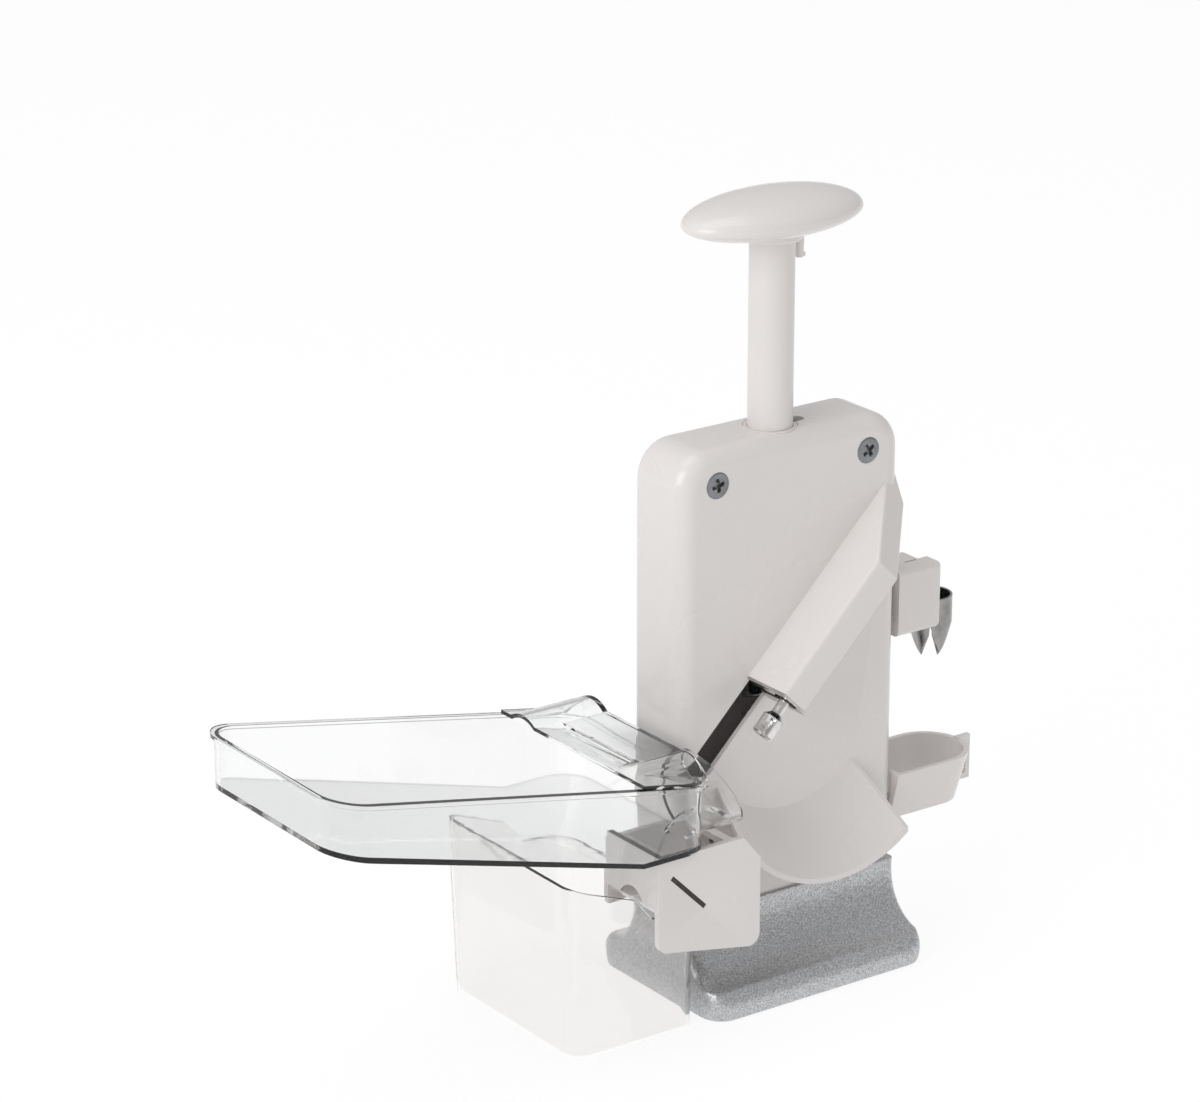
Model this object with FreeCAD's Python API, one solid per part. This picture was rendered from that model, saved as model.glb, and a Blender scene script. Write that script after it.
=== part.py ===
import FreeCAD, Part
import math
import os

# Hand-press cherry and plum pitter with feed tray and pit box, in millimetres.
# X runs along the width of the casing, -Y is the front, +Z is up.
# The shapes are worked out about the plunger axis, with the table at zero height.
# Each piece is then moved so that the origin is the middle of the whole footprint.

V = FreeCAD.Vector
X_AXIS = V(1, 0, 0)
Y_AXIS = V(0, 1, 0)
Z_AXIS = V(0, 0, 1)

# Casing
CASE_WIDTH = 102.0
CASE_DEPTH = 29.0
CASE_BOTTOM = 36.0
CASE_HEIGHT = 178.0
CASE_WALL = 2.2
CASE_CORNER = 14.0
CASE_EDGE_FRONT = 7.5
CASE_EDGE_BACK = 4.0

# Base foot
BASE_LENGTH = 100.0
BASE_REACH = 37.8
BASE_TOP_REACH = 16.0
BASE_WALL = 2.8
BASE_SHOULDER = 11.8
BASE_WAIST = 20.8
BASE_TOE = 3.6
BASE_CORNER = 10.0
FOOT_PROUD = 1.0
FOOT_RADIUS = 6.0
FOOT_STEM = 2.5
FOOT_STEM_LENGTH = 5.0
FOOT_X = 38.0
FOOT_Y = 26.0

# Plunger
COLUMN_RADIUS = 8.4
COLUMN_BORE = 6.0
COLUMN_TOP = 296.0
COLUMN_SEAT = 190.0
PLUNGER_TRAVEL = 67.0
KNOB_LENGTH = 76.0
KNOB_WIDTH = 48.0
KNOB_HEIGHT = 19.0
KNOB_COVER = 10.4
KNOB_EQUATOR = 7.6
KNOB_BOSS = 11.0
PEG_X = 12.4
PEG_RADIUS = 1.9
PEG_DROP = 10.4
PEG_NOTCH_GAP = 0.7

# Fits
RUNNING_FIT = 0.08
SLIDING_GAP = 0.2
LOOSE_GAP = 0.3

# Column bush
BUSH_WALL = 1.7
BUSH_FIT = 0.1
BUSH_DEPTH = 8.0
BUSH_FLANGE = 12.2
BUSH_FLANGE_THICK = 2.2

# Line of the cherry pin in the XZ plane: 45 degrees, down to the left
MOUTH_X = -14.9
MOUTH_Z = 120.1
PIN_TRAVEL = 57.4
PIN_Y = -31.5
PIN_RADIUS = 2.15
PIN_TIP_RADIUS = 4.3
PIN_TIP_LENGTH = 7.6
PIN_REACH = 16.3
PIN_BACK = 23.0
FLUTE_RADIUS = 1.7

# Diagonal hood on the front of the casing, sizes along its own line
HOOD_FRONT = -36.5
HOOD_HALF = 6.75
HOOD_WALL = 1.5
HOOD_EDGE = 1.6
HOOD_FOOT_LENGTH = 88.7
HOOD_FRONT_LENGTH = 59.8
HOOD_HOLLOW_LENGTH = 64.0
HOOD_RIGHT_INSET = 0.4
SLOT_HALF = 5.2
SLOT_LOW = 44.6
SLOT_HIGH = 24.6
SLOT_DEPTH_GAP = 1.5

# Scoop below the hood: (x, z) of the left end, the low point and the right end
CHUTE_LIP_Y = -31.0
CHUTE_WALL = 2.0
CHUTE_HEAD = ((-32.0, 84.0), (2.0, 69.0), (28.0, 81.0))
CHUTE_LIP = ((-34.5, 72.0), (6.0, 44.0), (42.0, 55.0))

# Cherry slider
ARM_START = 13.8
ARM_LENGTH = 8.0
ARM_HALF = 1.5
HUB_RADIUS = 3.75
SLIDER_HALF = 7.0
SLIDER_THICK = 4.0
SLIDER_END = 33.0
SLIDER_CHAMFER = 6.0
FOLLOWER_AT = 27.8
FOLLOWER_RADIUS = 2.0
ROLLER_RADIUS = 3.2
SET_SCREW_RADIUS = 1.25

# Carriage
CARRIAGE_GAP = 0.5
CAM_THICK = 4.0
CAM_MARGIN = 4.6
HUB_BLOCK_HALF_X = 11.6
HUB_BLOCK_HALF_Y = 10.5
HUB_BLOCK_BOTTOM = 184.0
HUB_BLOCK_TOP = 204.0
CROSS_PIN_RADIUS = 1.6
WEB_THICK = 6.0
ARM_BAR_HALF = 3.0
ARM_BAR_BOTTOM = 128.0
ARM_BAR_TOP = 142.0
ARM_SLOT_ROOM = 0.6

# Return spring and its rod
SPRING_Y = 4.5
SPRING_RADIUS = 5.8
SPRING_WIRE = 0.6
SPRING_TURNS = 18
ROD_RADIUS = 3.0
ROD_FLANGE = 7.2
ROD_FLANGE_THICK = 2.0
BUMPER_RADIUS = 3.8
BUMPER_HEIGHT = 8.6

# Stripper plate at the mouth of the hood
STRIPPER_THICK = 1.0
STRIPPER_HOLE = 4.8
STRIPPER_LEG = 11.0
STRIPPER_SCREW_RADIUS = 1.0
STRIPPER_SCREW_HEAD = 1.9

# Case screws
CASE_SCREW_X = 34.4
CASE_SCREW_DROP = 12.7
CASE_SCREW_RADIUS = 1.75
CASE_SCREW_HEAD = 5.0
CASE_SCREW_HEAD_THICK = 2.2
CASE_SCREW_PROUD = 0.5
CASE_BOSS = 4.6
BASE_SCREW_X = 34.0
BASE_SCREW_Y = 7.0
BASE_BOSS_HEIGHT = 12.0
RECESS_HALF = 2.3
RECESS_WIDTH = 1.0
RECESS_DEPTH = 1.4

# Plum unit on the right side
BLOCK_GAP = 4.0
BLOCK_WIDTH = 21.0
BLOCK_HALF = 9.2
BLOCK_BOTTOM = 121.4
BLOCK_TOP = 148.0
BLOCK_EDGE = 2.4
BOSS_WIDTH = 16.5
BLOCK_STEP_Y = -1.7
BLOCK_SLIT_AT = 8.0
BLOCK_SLIT_LENGTH = 5.4
BLOCK_SLIT_WIDTH = 0.9
BLOCK_SLIT_DEPTH = 3.0
BAR_SEAT = 13.0
CUTTER_OFFSET = 1.7
CUTTER_RADIUS = 8.4
CUTTER_WALL = 0.9
CUTTER_TOP = 132.0
CUTTER_BEND = 121.0
CUTTER_BOTTOM = 108.0
CUTTER_TIP_RADIUS = 5.0
CUTTER_TEETH = 4
CUTTER_TOOTH_DEPTH = 9.7
CUTTER_SLIT_HALF = 0.4
CUTTER_TURN = 54.0
BLOCK_SCREW_RADIUS = 1.5
BLOCK_SCREW_HEAD = 3.0
BLOCK_SCREW_HEAD_THICK = 1.8
BLOCK_SCREW_END = -6.0
CUP_RADIUS = 16.3
CUP_TOP = 69.0
CUP_HEIGHT = 19.5
CUP_WALL = 2.0
CUP_DRAFT = 5.0
CUP_FLOOR = 1.8
CUP_STOP = 10.5
CUP_HOLE = 9.6
CUP_SCREW_Y = 4.2
LUG_THICK = 2.0
LUG_FROM_CUTTER = 20.8
LUG_TOP = 70.0
LUG_BOTTOM = 52.0
LUG_HOLE = 1.2

# Holder that carries the tray, the seat membrane and the pit box edge
HOLDER_LEFT = -84.4
HOLDER_OVERLAP = 12.2
HOLDER_TOP = 79.0
HOLDER_FRONT = -48.0
HOLDER_WALL = 2.4
HOLDER_LOW_LEFT = 43.2
HOLDER_LOW_RIGHT = 34.6
HOLDER_CORNER = 4.5
HOLDER_SIDE_FOOT = 52.0
HOLDER_CUT_WIDTH = 7.6
HOLDER_CUT_HEIGHT = 9.4
DECK_LENGTH = 11.2
DECK_TOP = 76.5
SEAT_HALF = 12.0
SEAT_LENGTH = 11.3
SEAT_TOP_AT = 74.4
SEAT_BORE = 9.5
MEMBRANE_THICK = 1.6
MEMBRANE_LENGTH = 20.9
MEMBRANE_AT = 79.5
HOLDER_SCREW_INSET = 2.1
HOLDER_SCREW_LOW = 47.0
HOLDER_SCREW_HIGH = 68.0
HOLDER_BOSS = 3.4
HOLDER_SCREW_RADIUS = 1.5

# Feed tray with the outlet tube
TRAY_LEFT = -220.0
TRAY_RIGHT = -60.0
TRAY_FRONT = -50.0
TRAY_BACK = 40.0
TRAY_RIM_LEFT = 134.2
TRAY_RIM_RIGHT = 103.0
TRAY_DEPTH_LEFT = 20.4
TRAY_KNEE = -92.0
TRAY_WALL = 1.6
TRAY_CORNER = 14.0
TRAY_LIP = 1.4
TRAY_LIP_THICK = 1.6
TUBE_RADIUS = 15.5
TUBE_WALL = 1.5
TUBE_HIGH_END = -58.0
TUBE_LOW_END = -40.0
TUBE_HOLE = 9.0
ARM_WAY_GAP = 0.6
COVER_LEFT = -92.0
COVER_WALL = 1.5
ARCH_Y = 26.0
ARCH_RADIUS = 13.5
ARCH_CENTRE = 99.5
PASSAGE_LEFT = -80.0
PASSAGE_TOP = 110.0
PASSAGE_BOTTOM = 85.0
DROP_LOW = 110.0
DROP_HIGH = 20.0

# Pit box
BOX_LENGTH = 55.5
BOX_BASE_GAP = 4.0
BOX_CASE_GAP = 3.0
BOX_FRONT = -31.5
BOX_BACK = 50.5
BOX_WALL = 1.5
BOX_CORNER = 8.0
BOX_DRAFT = 2.0
BOX_RIM_LEFT = 68.0
BOX_RIM_STEP = 58.5
BOX_RIM_RIGHT = 46.0
BOX_RIM_LOW = 49.0
BOX_STEP_AT = 30.0
BOX_STEP_RUN = 8.0
BOX_RIM_GAP = 0.5

# Places worked out from the sizes above
CASE_TOP = CASE_BOTTOM + CASE_HEIGHT
CASE_RIGHT = CASE_WIDTH / 2
CASE_FRONT = -CASE_DEPTH / 2
KNOB_BOTTOM = COLUMN_TOP - KNOB_COVER
PEG_BOTTOM = KNOB_BOTTOM - PEG_DROP
BLOCK_LEFT = CASE_RIGHT + BLOCK_GAP
BLOCK_RIGHT = BLOCK_LEFT + BLOCK_WIDTH
BLOCK_STEP_X = BLOCK_LEFT + BOSS_WIDTH
BLOCK_SLIT_START = BLOCK_LEFT + BLOCK_SLIT_AT
BLOCK_SLIT_END = BLOCK_SLIT_START + BLOCK_SLIT_LENGTH
BAR_END = BLOCK_LEFT + BAR_SEAT
CUTTER_X = BLOCK_RIGHT + CUTTER_OFFSET
LUG_REACH = CUTTER_X + LUG_FROM_CUTTER
HOLDER_RIGHT = -CASE_RIGHT + HOLDER_OVERLAP
DECK_LEFT = HOLDER_RIGHT - DECK_LENGTH
HOLDER_SCREW_X = HOLDER_RIGHT - HOLDER_SCREW_INSET
BOX_RIGHT = -max(BASE_LENGTH / 2 + BOX_BASE_GAP, CASE_RIGHT + BOX_CASE_GAP)
BOX_LEFT = BOX_RIGHT - BOX_LENGTH
BOX_STEP_X = BOX_RIGHT - BOX_STEP_AT
INNER_FRONT = CASE_FRONT + CASE_WALL
INNER_BOTTOM = CASE_BOTTOM + CASE_WALL
INNER_TOP = CASE_TOP - CASE_WALL
SLIDER_FRONT = INNER_FRONT + SLIDING_GAP
SLIDER_BACK = SLIDER_FRONT + SLIDER_THICK
CAM_FRONT = SLIDER_BACK + CARRIAGE_GAP
CAM_BACK = CAM_FRONT + CAM_THICK
BUSH_RADIUS = COLUMN_RADIUS + RUNNING_FIT + BUSH_WALL
ROD_TOP = HUB_BLOCK_BOTTOM - PLUNGER_TRAVEL - LOOSE_GAP - BUMPER_HEIGHT
CASE_SCREW_Z = CASE_TOP - CASE_SCREW_DROP
DIAGONAL = math.sqrt(0.5)
TUBE_AXIS = HOLDER_TOP + LOOSE_GAP + TUBE_RADIUS
BOX_BACK_AT_RIM = BOX_BACK + BOX_DRAFT * BOX_RIM_LEFT / (BOX_RIM_LEFT + 2)
MIDDLE = V((TRAY_LEFT - TRAY_LIP + LUG_REACH) / 2, (TRAY_FRONT - TRAY_LIP + BOX_BACK_AT_RIM) / 2, 0)


def box(x0, x1, y0, y1, z0, z1):
    """Box between two corners."""
    return Part.makeBox(x1 - x0, y1 - y0, z1 - z0, V(x0, y0, z0))


def rod(start, axis, radius, length):
    """Round bar from a start point along an axis."""
    return Part.makeCylinder(radius, length, start, axis)


def fuse(*shapes):
    """Joins solids and cleans the seams between them."""
    joined = shapes[0].multiFuse(list(shapes[1:]))
    return joined.removeSplitter()


def cut(shape, *tools):
    """Takes the tools away from the shape."""
    for tool in tools:
        shape = shape.cut(tool)
    return shape


def prism_y(points, y0, y1):
    """Solid with an outline of (x, z) points, from y0 to y1."""
    wire = Part.makePolygon([V(x, y0, z) for x, z in points] + [V(points[0][0], y0, points[0][1])])
    return Part.Face(wire).extrude(V(0, y1 - y0, 0))


def rounded_plate(x0, x1, y0, y1, z0, z1, radius):
    """Upright block with its four vertical edges rounded."""
    block = box(x0, x1, y0, y1, z0, z1)
    upright = [e for e in block.Edges if abs(e.tangentAt(e.FirstParameter).z) > 0.99]
    return block.makeFillet(radius, upright)


def rounded_outline(points, y0, y1, radius):
    """Prism along Y with the edges along Y rounded."""
    block = prism_y(points, y0, y1)
    along = [e for e in block.Edges if abs(e.tangentAt(e.FirstParameter).y) > 0.99]
    return block.makeFillet(radius, along)


def on_pin_line(shape):
    """Carries a shape from (along, y, across) coordinates onto the 45 degree pin line."""
    placed = shape.copy()
    placed.rotate(V(0, 0, 0), Y_AXIS, -45)
    placed.translate(V(MOUTH_X, 0, MOUTH_Z))
    return placed


def pin_point(along, y, across=0.0):
    """Point at a distance up the pin line from the mouth of the hood."""
    return V(MOUTH_X + DIAGONAL * (along - across), y, MOUTH_Z + DIAGONAL * (along + across))


def cross_recess(centre, axis, depth, half=RECESS_HALF, width=RECESS_WIDTH):
    """Cross for a screwdriver, cut from the head at centre into the screw along axis."""
    arms = [
        Part.makeBox(2 * half, width, 2 * depth, V(-half, -width / 2, -depth)),
        Part.makeBox(width, 2 * half, 2 * depth, V(-width / 2, -half, -depth)),
    ]
    cross = arms[0].fuse(arms[1])
    cross.rotate(V(0, 0, 0), Z_AXIS, 20)
    cross.Placement = FreeCAD.Placement(centre, FreeCAD.Rotation(Z_AXIS, axis)).multiply(cross.Placement)
    return cross


def save(name, shape):
    """Moves one node to the footprint's origin, writes it as a STEP file and prints its volume."""
    if shape.ShapeType == "Compound" and len(shape.Solids) == 1:
        shape = shape.Solids[0]
    shape = shape.copy()
    shape.translate(-MIDDLE)
    shape.exportStep("parts/" + name + ".step")
    print(name, len(shape.Solids), "solid", round(shape.Volume), "mm3", "valid" if shape.isValid() else "BAD")


# Casing: two shells that meet on the plane through the plunger axis

def case_block(inset):
    """Rounded block of the casing, inset by a wall."""
    block = box(-CASE_RIGHT + inset, CASE_RIGHT - inset, CASE_FRONT + inset, -CASE_FRONT - inset,
                CASE_BOTTOM + inset, CASE_TOP - inset)
    top_corners = [e for e in block.Edges if abs(e.tangentAt(e.FirstParameter).y) > 0.99
                   and e.CenterOfMass.z > CASE_TOP - inset - 1]
    block = block.makeFillet(CASE_CORNER - inset, top_corners)
    for y, edge in ((CASE_FRONT + inset, CASE_EDGE_FRONT), (-CASE_FRONT - inset, CASE_EDGE_BACK)):
        rim = [e for e in block.Edges if abs(e.CenterOfMass.y - y) < 0.01
               and e.CenterOfMass.z > CASE_BOTTOM + inset + 1]
        block = block.makeFillet(edge - inset, rim)
    return block


def peg_notch(low, high):
    """Round-ended notch beside the column that takes the lock peg."""
    half = PEG_RADIUS + PEG_NOTCH_GAP
    return box(0, PEG_X, -half, half, low, high).fuse(rod(V(PEG_X, 0, low), Z_AXIS, half, high - low))


def case_shell():
    """Hollow casing with every hole that both halves share."""
    shell = case_block(0).cut(case_block(CASE_WALL))
    bush_hole = rod(V(0, 0, CASE_TOP - BUSH_DEPTH - 1), Z_AXIS, BUSH_RADIUS, BUSH_DEPTH + 2)
    half = ARM_BAR_HALF + LOOSE_GAP
    arm_slot = box(CASE_RIGHT - CASE_WALL - 1, CASE_RIGHT + 1, -half, half,
                   ARM_BAR_BOTTOM - PLUNGER_TRAVEL - ARM_SLOT_ROOM, ARM_BAR_TOP + ARM_SLOT_ROOM)
    hole_start = CASE_RIGHT - CASE_EDGE_FRONT - 1
    cup_holes = [rod(V(hole_start, y, cup_screw_z()), X_AXIS, HOLDER_SCREW_RADIUS, CASE_EDGE_FRONT + 2)
                 for y in (-CUP_SCREW_Y, CUP_SCREW_Y)]
    return cut(shell, bush_hole, peg_notch(CASE_TOP - BUSH_DEPTH - 1, CASE_TOP + 1), arm_slot, *cup_holes)


def floor_bosses(side):
    """Bosses on the casing floor for the screws that come up through the base."""
    return [rod(V(x, side * BASE_SCREW_Y, INNER_BOTTOM - 0.5), Z_AXIS, CASE_BOSS - 1, BASE_BOSS_HEIGHT + 0.5)
            for x in (-BASE_SCREW_X, BASE_SCREW_X)]


def base_screw_holes():
    """Holes for the base screws through the casing floor."""
    return [rod(V(x, y, CASE_BOTTOM - 1), Z_AXIS, CASE_SCREW_RADIUS, BASE_BOSS_HEIGHT)
            for x in (-BASE_SCREW_X, BASE_SCREW_X) for y in (-BASE_SCREW_Y, BASE_SCREW_Y)]


def rear_shell(shell):
    """Rear half with the bosses that take the case screws."""
    half = shell.common(box(-CASE_WIDTH, CASE_WIDTH, 0, CASE_DEPTH, 0, CASE_TOP + 10))
    bosses = [rod(V(x, 0, CASE_SCREW_Z), Y_AXIS, CASE_BOSS, -INNER_FRONT + 0.5)
              for x in (-CASE_SCREW_X, CASE_SCREW_X)]
    half = fuse(half, *bosses, *floor_bosses(1))
    bores = [rod(V(x, -1, CASE_SCREW_Z), Y_AXIS, CASE_SCREW_RADIUS, 10.0)
             for x in (-CASE_SCREW_X, CASE_SCREW_X)]
    return cut(half, *bores, *base_screw_holes())


def hood_slope():
    """Run of the hood's upper end along the pin line for each millimetre of height."""
    return (HOOD_FOOT_LENGTH - HOOD_FRONT_LENGTH) / (CASE_FRONT - HOOD_FRONT)


def hood_solid():
    """Diagonal hood: a channel with a slanting upper end that runs into the casing's right edge."""
    root = CASE_EDGE_FRONT + 0.5
    outline = [V(0, CASE_FRONT + root, 0), V(HOOD_FOOT_LENGTH + hood_slope() * root, CASE_FRONT + root, 0),
               V(HOOD_FRONT_LENGTH, HOOD_FRONT, 0), V(0, HOOD_FRONT, 0)]
    face = Part.Face(Part.makePolygon(outline + outline[:1]))
    face.translate(V(0, 0, -HOOD_HALF))
    body = face.extrude(V(0, 0, 2 * HOOD_HALF))
    long_edges = [e for e in body.Edges if abs(e.CenterOfMass.y - HOOD_FRONT) < 0.01
                  and abs(e.tangentAt(e.FirstParameter).x) > 0.9]
    bevel_edges = [e for e in body.Edges if e.CenterOfMass.x > HOOD_FRONT_LENGTH + 1
                   and HOOD_FRONT + 1 < e.CenterOfMass.y < CASE_FRONT + root - 1]
    body = on_pin_line(body.makeFillet(HOOD_EDGE, long_edges + bevel_edges))
    keep = box(-CASE_WIDTH, CASE_RIGHT - HOOD_RIGHT_INSET, -CASE_WIDTH, CASE_DEPTH, CASE_BOTTOM, CASE_TOP)
    return body.common(keep).cut(case_block(CASE_WALL))


def hood_hollow():
    """Space inside the hood for the pin and the arm of the slider."""
    inner_half = HOOD_HALF - HOOD_WALL
    front_y = HOOD_FRONT + HOOD_WALL
    outline = [V(-1, CASE_FRONT, 0), V(HOOD_HOLLOW_LENGTH, CASE_FRONT, 0),
               V(HOOD_HOLLOW_LENGTH - hood_slope() * (CASE_FRONT - front_y), front_y, 0), V(-1, front_y, 0)]
    face = Part.Face(Part.makePolygon(outline + outline[:1]))
    face.translate(V(0, 0, -inner_half))
    return on_pin_line(face.extrude(V(0, 0, 2 * inner_half)))


def chute_wire(y, left, bottom, right, rise, drop):
    """Closed U outline at depth y: an arc through three low points, closed by straight sides above."""
    points = [V(left[0], y, left[1] - drop), V(bottom[0], y, bottom[1] - drop),
              V(right[0], y, right[1] - drop)]
    arc = Part.Arc(*points).toShape()
    sides = Part.makePolygon([points[2], V(points[2].x, y, points[2].z + rise),
                              V(points[0].x, y, points[0].z + rise), points[0]])
    return Part.Wire([arc] + list(sides.Edges))


def chute():
    """Scoop below the hood that sheds the pitted fruit to the front."""
    def loft(y0, y1, drop, widen, rise):
        run = CHUTE_LIP_Y - CASE_FRONT
        wires = []
        for y in (y0, y1):
            t = (y - CASE_FRONT) / run
            corners = []
            for head, lip, side in zip(CHUTE_HEAD, CHUTE_LIP, (-1, 0, 1)):
                corners.append((head[0] + t * (lip[0] - head[0]) + side * widen,
                                head[1] + t * (lip[1] - head[1])))
            wires.append(chute_wire(y, *corners, rise, drop))
        return Part.makeLoft(wires, True, True)
    outer = loft(CASE_FRONT + 1, CHUTE_LIP_Y, CHUTE_WALL, CHUTE_WALL, CHUTE_WALL + 0.1)
    inner = loft(CASE_FRONT - 0.01, CHUTE_LIP_Y - 1, 0, 0, 30.0)
    keep = box(-CASE_WIDTH, CASE_WIDTH, -60, CASE_FRONT + 0.5, CASE_BOTTOM, 200)
    return outer.cut(inner).common(keep)


def front_shell(shell):
    """Front half with hood, chute, slot and the counterbored screw seats."""
    half = shell.common(box(-CASE_WIDTH, CASE_WIDTH, -CASE_DEPTH, 0, 0, CASE_TOP + 10))
    bosses = [rod(V(x, INNER_FRONT - 0.5, CASE_SCREW_Z), Y_AXIS, CASE_BOSS, -INNER_FRONT + 0.5)
              for x in (-CASE_SCREW_X, CASE_SCREW_X)]
    half = fuse(half, *bosses, *floor_bosses(-1), hood_solid(), chute())
    slot = on_pin_line(box(-SLOT_LOW, SLOT_HIGH, CASE_FRONT - 0.5, SLIDER_BACK + SLOT_DEPTH_GAP,
                           -SLOT_HALF, SLOT_HALF))
    shanks = [rod(V(x, CASE_FRONT - 1, CASE_SCREW_Z), Y_AXIS, CASE_SCREW_RADIUS, CASE_DEPTH / 2 + 2)
              for x in (-CASE_SCREW_X, CASE_SCREW_X)]
    seats = [rod(V(x, CASE_FRONT - 1, CASE_SCREW_Z), Y_AXIS, CASE_SCREW_HEAD,
                 1 + CASE_SCREW_HEAD_THICK - CASE_SCREW_PROUD)
             for x in (-CASE_SCREW_X, CASE_SCREW_X)]
    holder = [rod(V(HOLDER_SCREW_X, CASE_FRONT - 1, z), Y_AXIS, HOLDER_SCREW_RADIUS, CASE_WALL + 2)
              for z in (HOLDER_SCREW_LOW, HOLDER_SCREW_HIGH)]
    stripper = [stripper_screw_bar(along, STRIPPER_SCREW_RADIUS) for along in stripper_places()]
    return cut(half, hood_hollow(), slot, *shanks, *seats, *holder, *stripper, *base_screw_holes())


def case_screws():
    """Cross-recess screws that hold the two shells together."""
    screws = []
    for x in (-CASE_SCREW_X, CASE_SCREW_X):
        head_front = CASE_FRONT - CASE_SCREW_PROUD
        head = rod(V(x, head_front, CASE_SCREW_Z), Y_AXIS, CASE_SCREW_HEAD, CASE_SCREW_HEAD_THICK)
        shank = rod(V(x, head_front + 1, CASE_SCREW_Z), Y_AXIS, CASE_SCREW_RADIUS, -head_front + 7.5)
        recess = cross_recess(V(x, head_front, CASE_SCREW_Z), Y_AXIS, RECESS_DEPTH)
        screws.append(cut(fuse(head, shank), recess))
    return Part.makeCompound(screws)


# Base foot: a hollow saddle with a hollow-curved flare at the front and the back

def base_profile(inset, low):
    """Face in the YZ plane: flat top, concave flares, rounded toes."""
    top = CASE_BOTTOM - inset
    half = BASE_TOP_REACH - inset
    shoulder_y = BASE_REACH - 3.3 - inset
    waist = (BASE_WAIST - inset * 0.8, BASE_WAIST - inset * 0.9)
    toe = BASE_REACH - inset
    edges = []
    for side in (1, -1):
        def at(y, z):
            return V(0, side * y, z)
        flare = Part.Arc(at(half, top), at(*waist), at(shoulder_y, BASE_SHOULDER - inset)).toShape()
        nose = Part.Arc(at(shoulder_y, BASE_SHOULDER - inset), at(toe - 0.5, BASE_SHOULDER - inset - 3.6),
                        at(toe, BASE_TOE)).toShape()
        edges += [flare, nose, Part.makeLine(at(toe, BASE_TOE), at(toe - 0.9, low))]
    edges.append(Part.makeLine(V(0, -half, top), V(0, half, top)))
    edges.append(Part.makeLine(V(0, -(toe - 0.9), low), V(0, toe - 0.9, low)))
    return Part.Face(Part.Wire(Part.__sortEdges__(edges)))


def base_foot():
    """Cast foot, hollow below, with seats for the rubber feet and holes for the screws."""
    half = BASE_LENGTH / 2
    outer = base_profile(0, FOOT_PROUD).extrude(V(BASE_LENGTH, 0, 0))
    outer.translate(V(-half, 0, 0))
    outer = outer.common(rounded_plate(-half, half, -BASE_REACH, BASE_REACH, 0, CASE_BOTTOM + 1, BASE_CORNER))
    inner_half = half - BASE_WALL
    inner = base_profile(BASE_WALL, FOOT_PROUD - 0.5).extrude(V(2 * inner_half, 0, 0))
    inner.translate(V(-inner_half, 0, 0))
    inner_reach = BASE_REACH - BASE_WALL
    inner = inner.common(rounded_plate(-inner_half, inner_half, -inner_reach, inner_reach,
                                       0, CASE_BOTTOM + 1, BASE_CORNER - BASE_WALL))
    seats = [rod(V(x, y, FOOT_PROUD), Z_AXIS, FOOT_RADIUS, BASE_SHOULDER)
             for x in (-FOOT_X, FOOT_X) for y in (-FOOT_Y, FOOT_Y)]
    seats = [seat.common(outer) for seat in seats]
    body = fuse(outer.cut(inner), *seats)
    stems = [rod(V(x, y, 0), Z_AXIS, FOOT_STEM, FOOT_PROUD + FOOT_STEM_LENGTH)
             for x in (-FOOT_X, FOOT_X) for y in (-FOOT_Y, FOOT_Y)]
    holes = [rod(V(x, y, CASE_BOTTOM - BASE_WALL - 2), Z_AXIS, CASE_SCREW_RADIUS, BASE_WALL + 4)
             for x in (-BASE_SCREW_X, BASE_SCREW_X) for y in (-BASE_SCREW_Y, BASE_SCREW_Y)]
    return cut(body, *stems, *holes)


def rubber_feet():
    """Four rubber feet, each with a stem pushed into the base."""
    feet = []
    for x in (-FOOT_X, FOOT_X):
        for y in (-FOOT_Y, FOOT_Y):
            pad = rod(V(x, y, 0), Z_AXIS, FOOT_RADIUS, FOOT_PROUD)
            stem = rod(V(x, y, FOOT_PROUD / 2), Z_AXIS, FOOT_STEM, FOOT_PROUD / 2 + FOOT_STEM_LENGTH)
            feet.append(fuse(pad, stem))
    return Part.makeCompound(feet)


def base_screws():
    """Four screws from inside the base up into the casing floor."""
    screws = []
    head_top = CASE_BOTTOM - BASE_WALL
    for x in (-BASE_SCREW_X, BASE_SCREW_X):
        for y in (-BASE_SCREW_Y, BASE_SCREW_Y):
            head = rod(V(x, y, head_top - 2), Z_AXIS, CASE_BOSS - 1.4, 2)
            shank = rod(V(x, y, head_top - 1), Z_AXIS, CASE_SCREW_RADIUS, BASE_WALL + BASE_BOSS_HEIGHT - 1)
            recess = cross_recess(V(x, y, head_top - 2), Z_AXIS, 1.2, 1.7, 0.8)
            screws.append(cut(fuse(head, shank), recess))
    return Part.makeCompound(screws)


# Plunger: column, knob, bush, carriage, spring

def plunger_column():
    """Tube that runs from the knob down to the carriage."""
    tube = rod(V(0, 0, COLUMN_SEAT), Z_AXIS, COLUMN_RADIUS, COLUMN_TOP - COLUMN_SEAT)
    bore = rod(V(0, 0, COLUMN_SEAT - 1), Z_AXIS, COLUMN_BORE, COLUMN_TOP - COLUMN_SEAT + 2)
    cross = rod(V(-COLUMN_RADIUS - 1, 0, cross_pin_z()), X_AXIS, CROSS_PIN_RADIUS, 2 * COLUMN_RADIUS + 2)
    return cut(tube, bore, cross)


def cross_pin_z():
    """Height of the pin that locks the column in the carriage."""
    return (COLUMN_SEAT + HUB_BLOCK_TOP) / 2


def cross_pin():
    """Pin through the carriage hub and the column."""
    return rod(V(-HUB_BLOCK_HALF_X, 0, cross_pin_z()), X_AXIS, CROSS_PIN_RADIUS, 2 * HUB_BLOCK_HALF_X)


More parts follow.
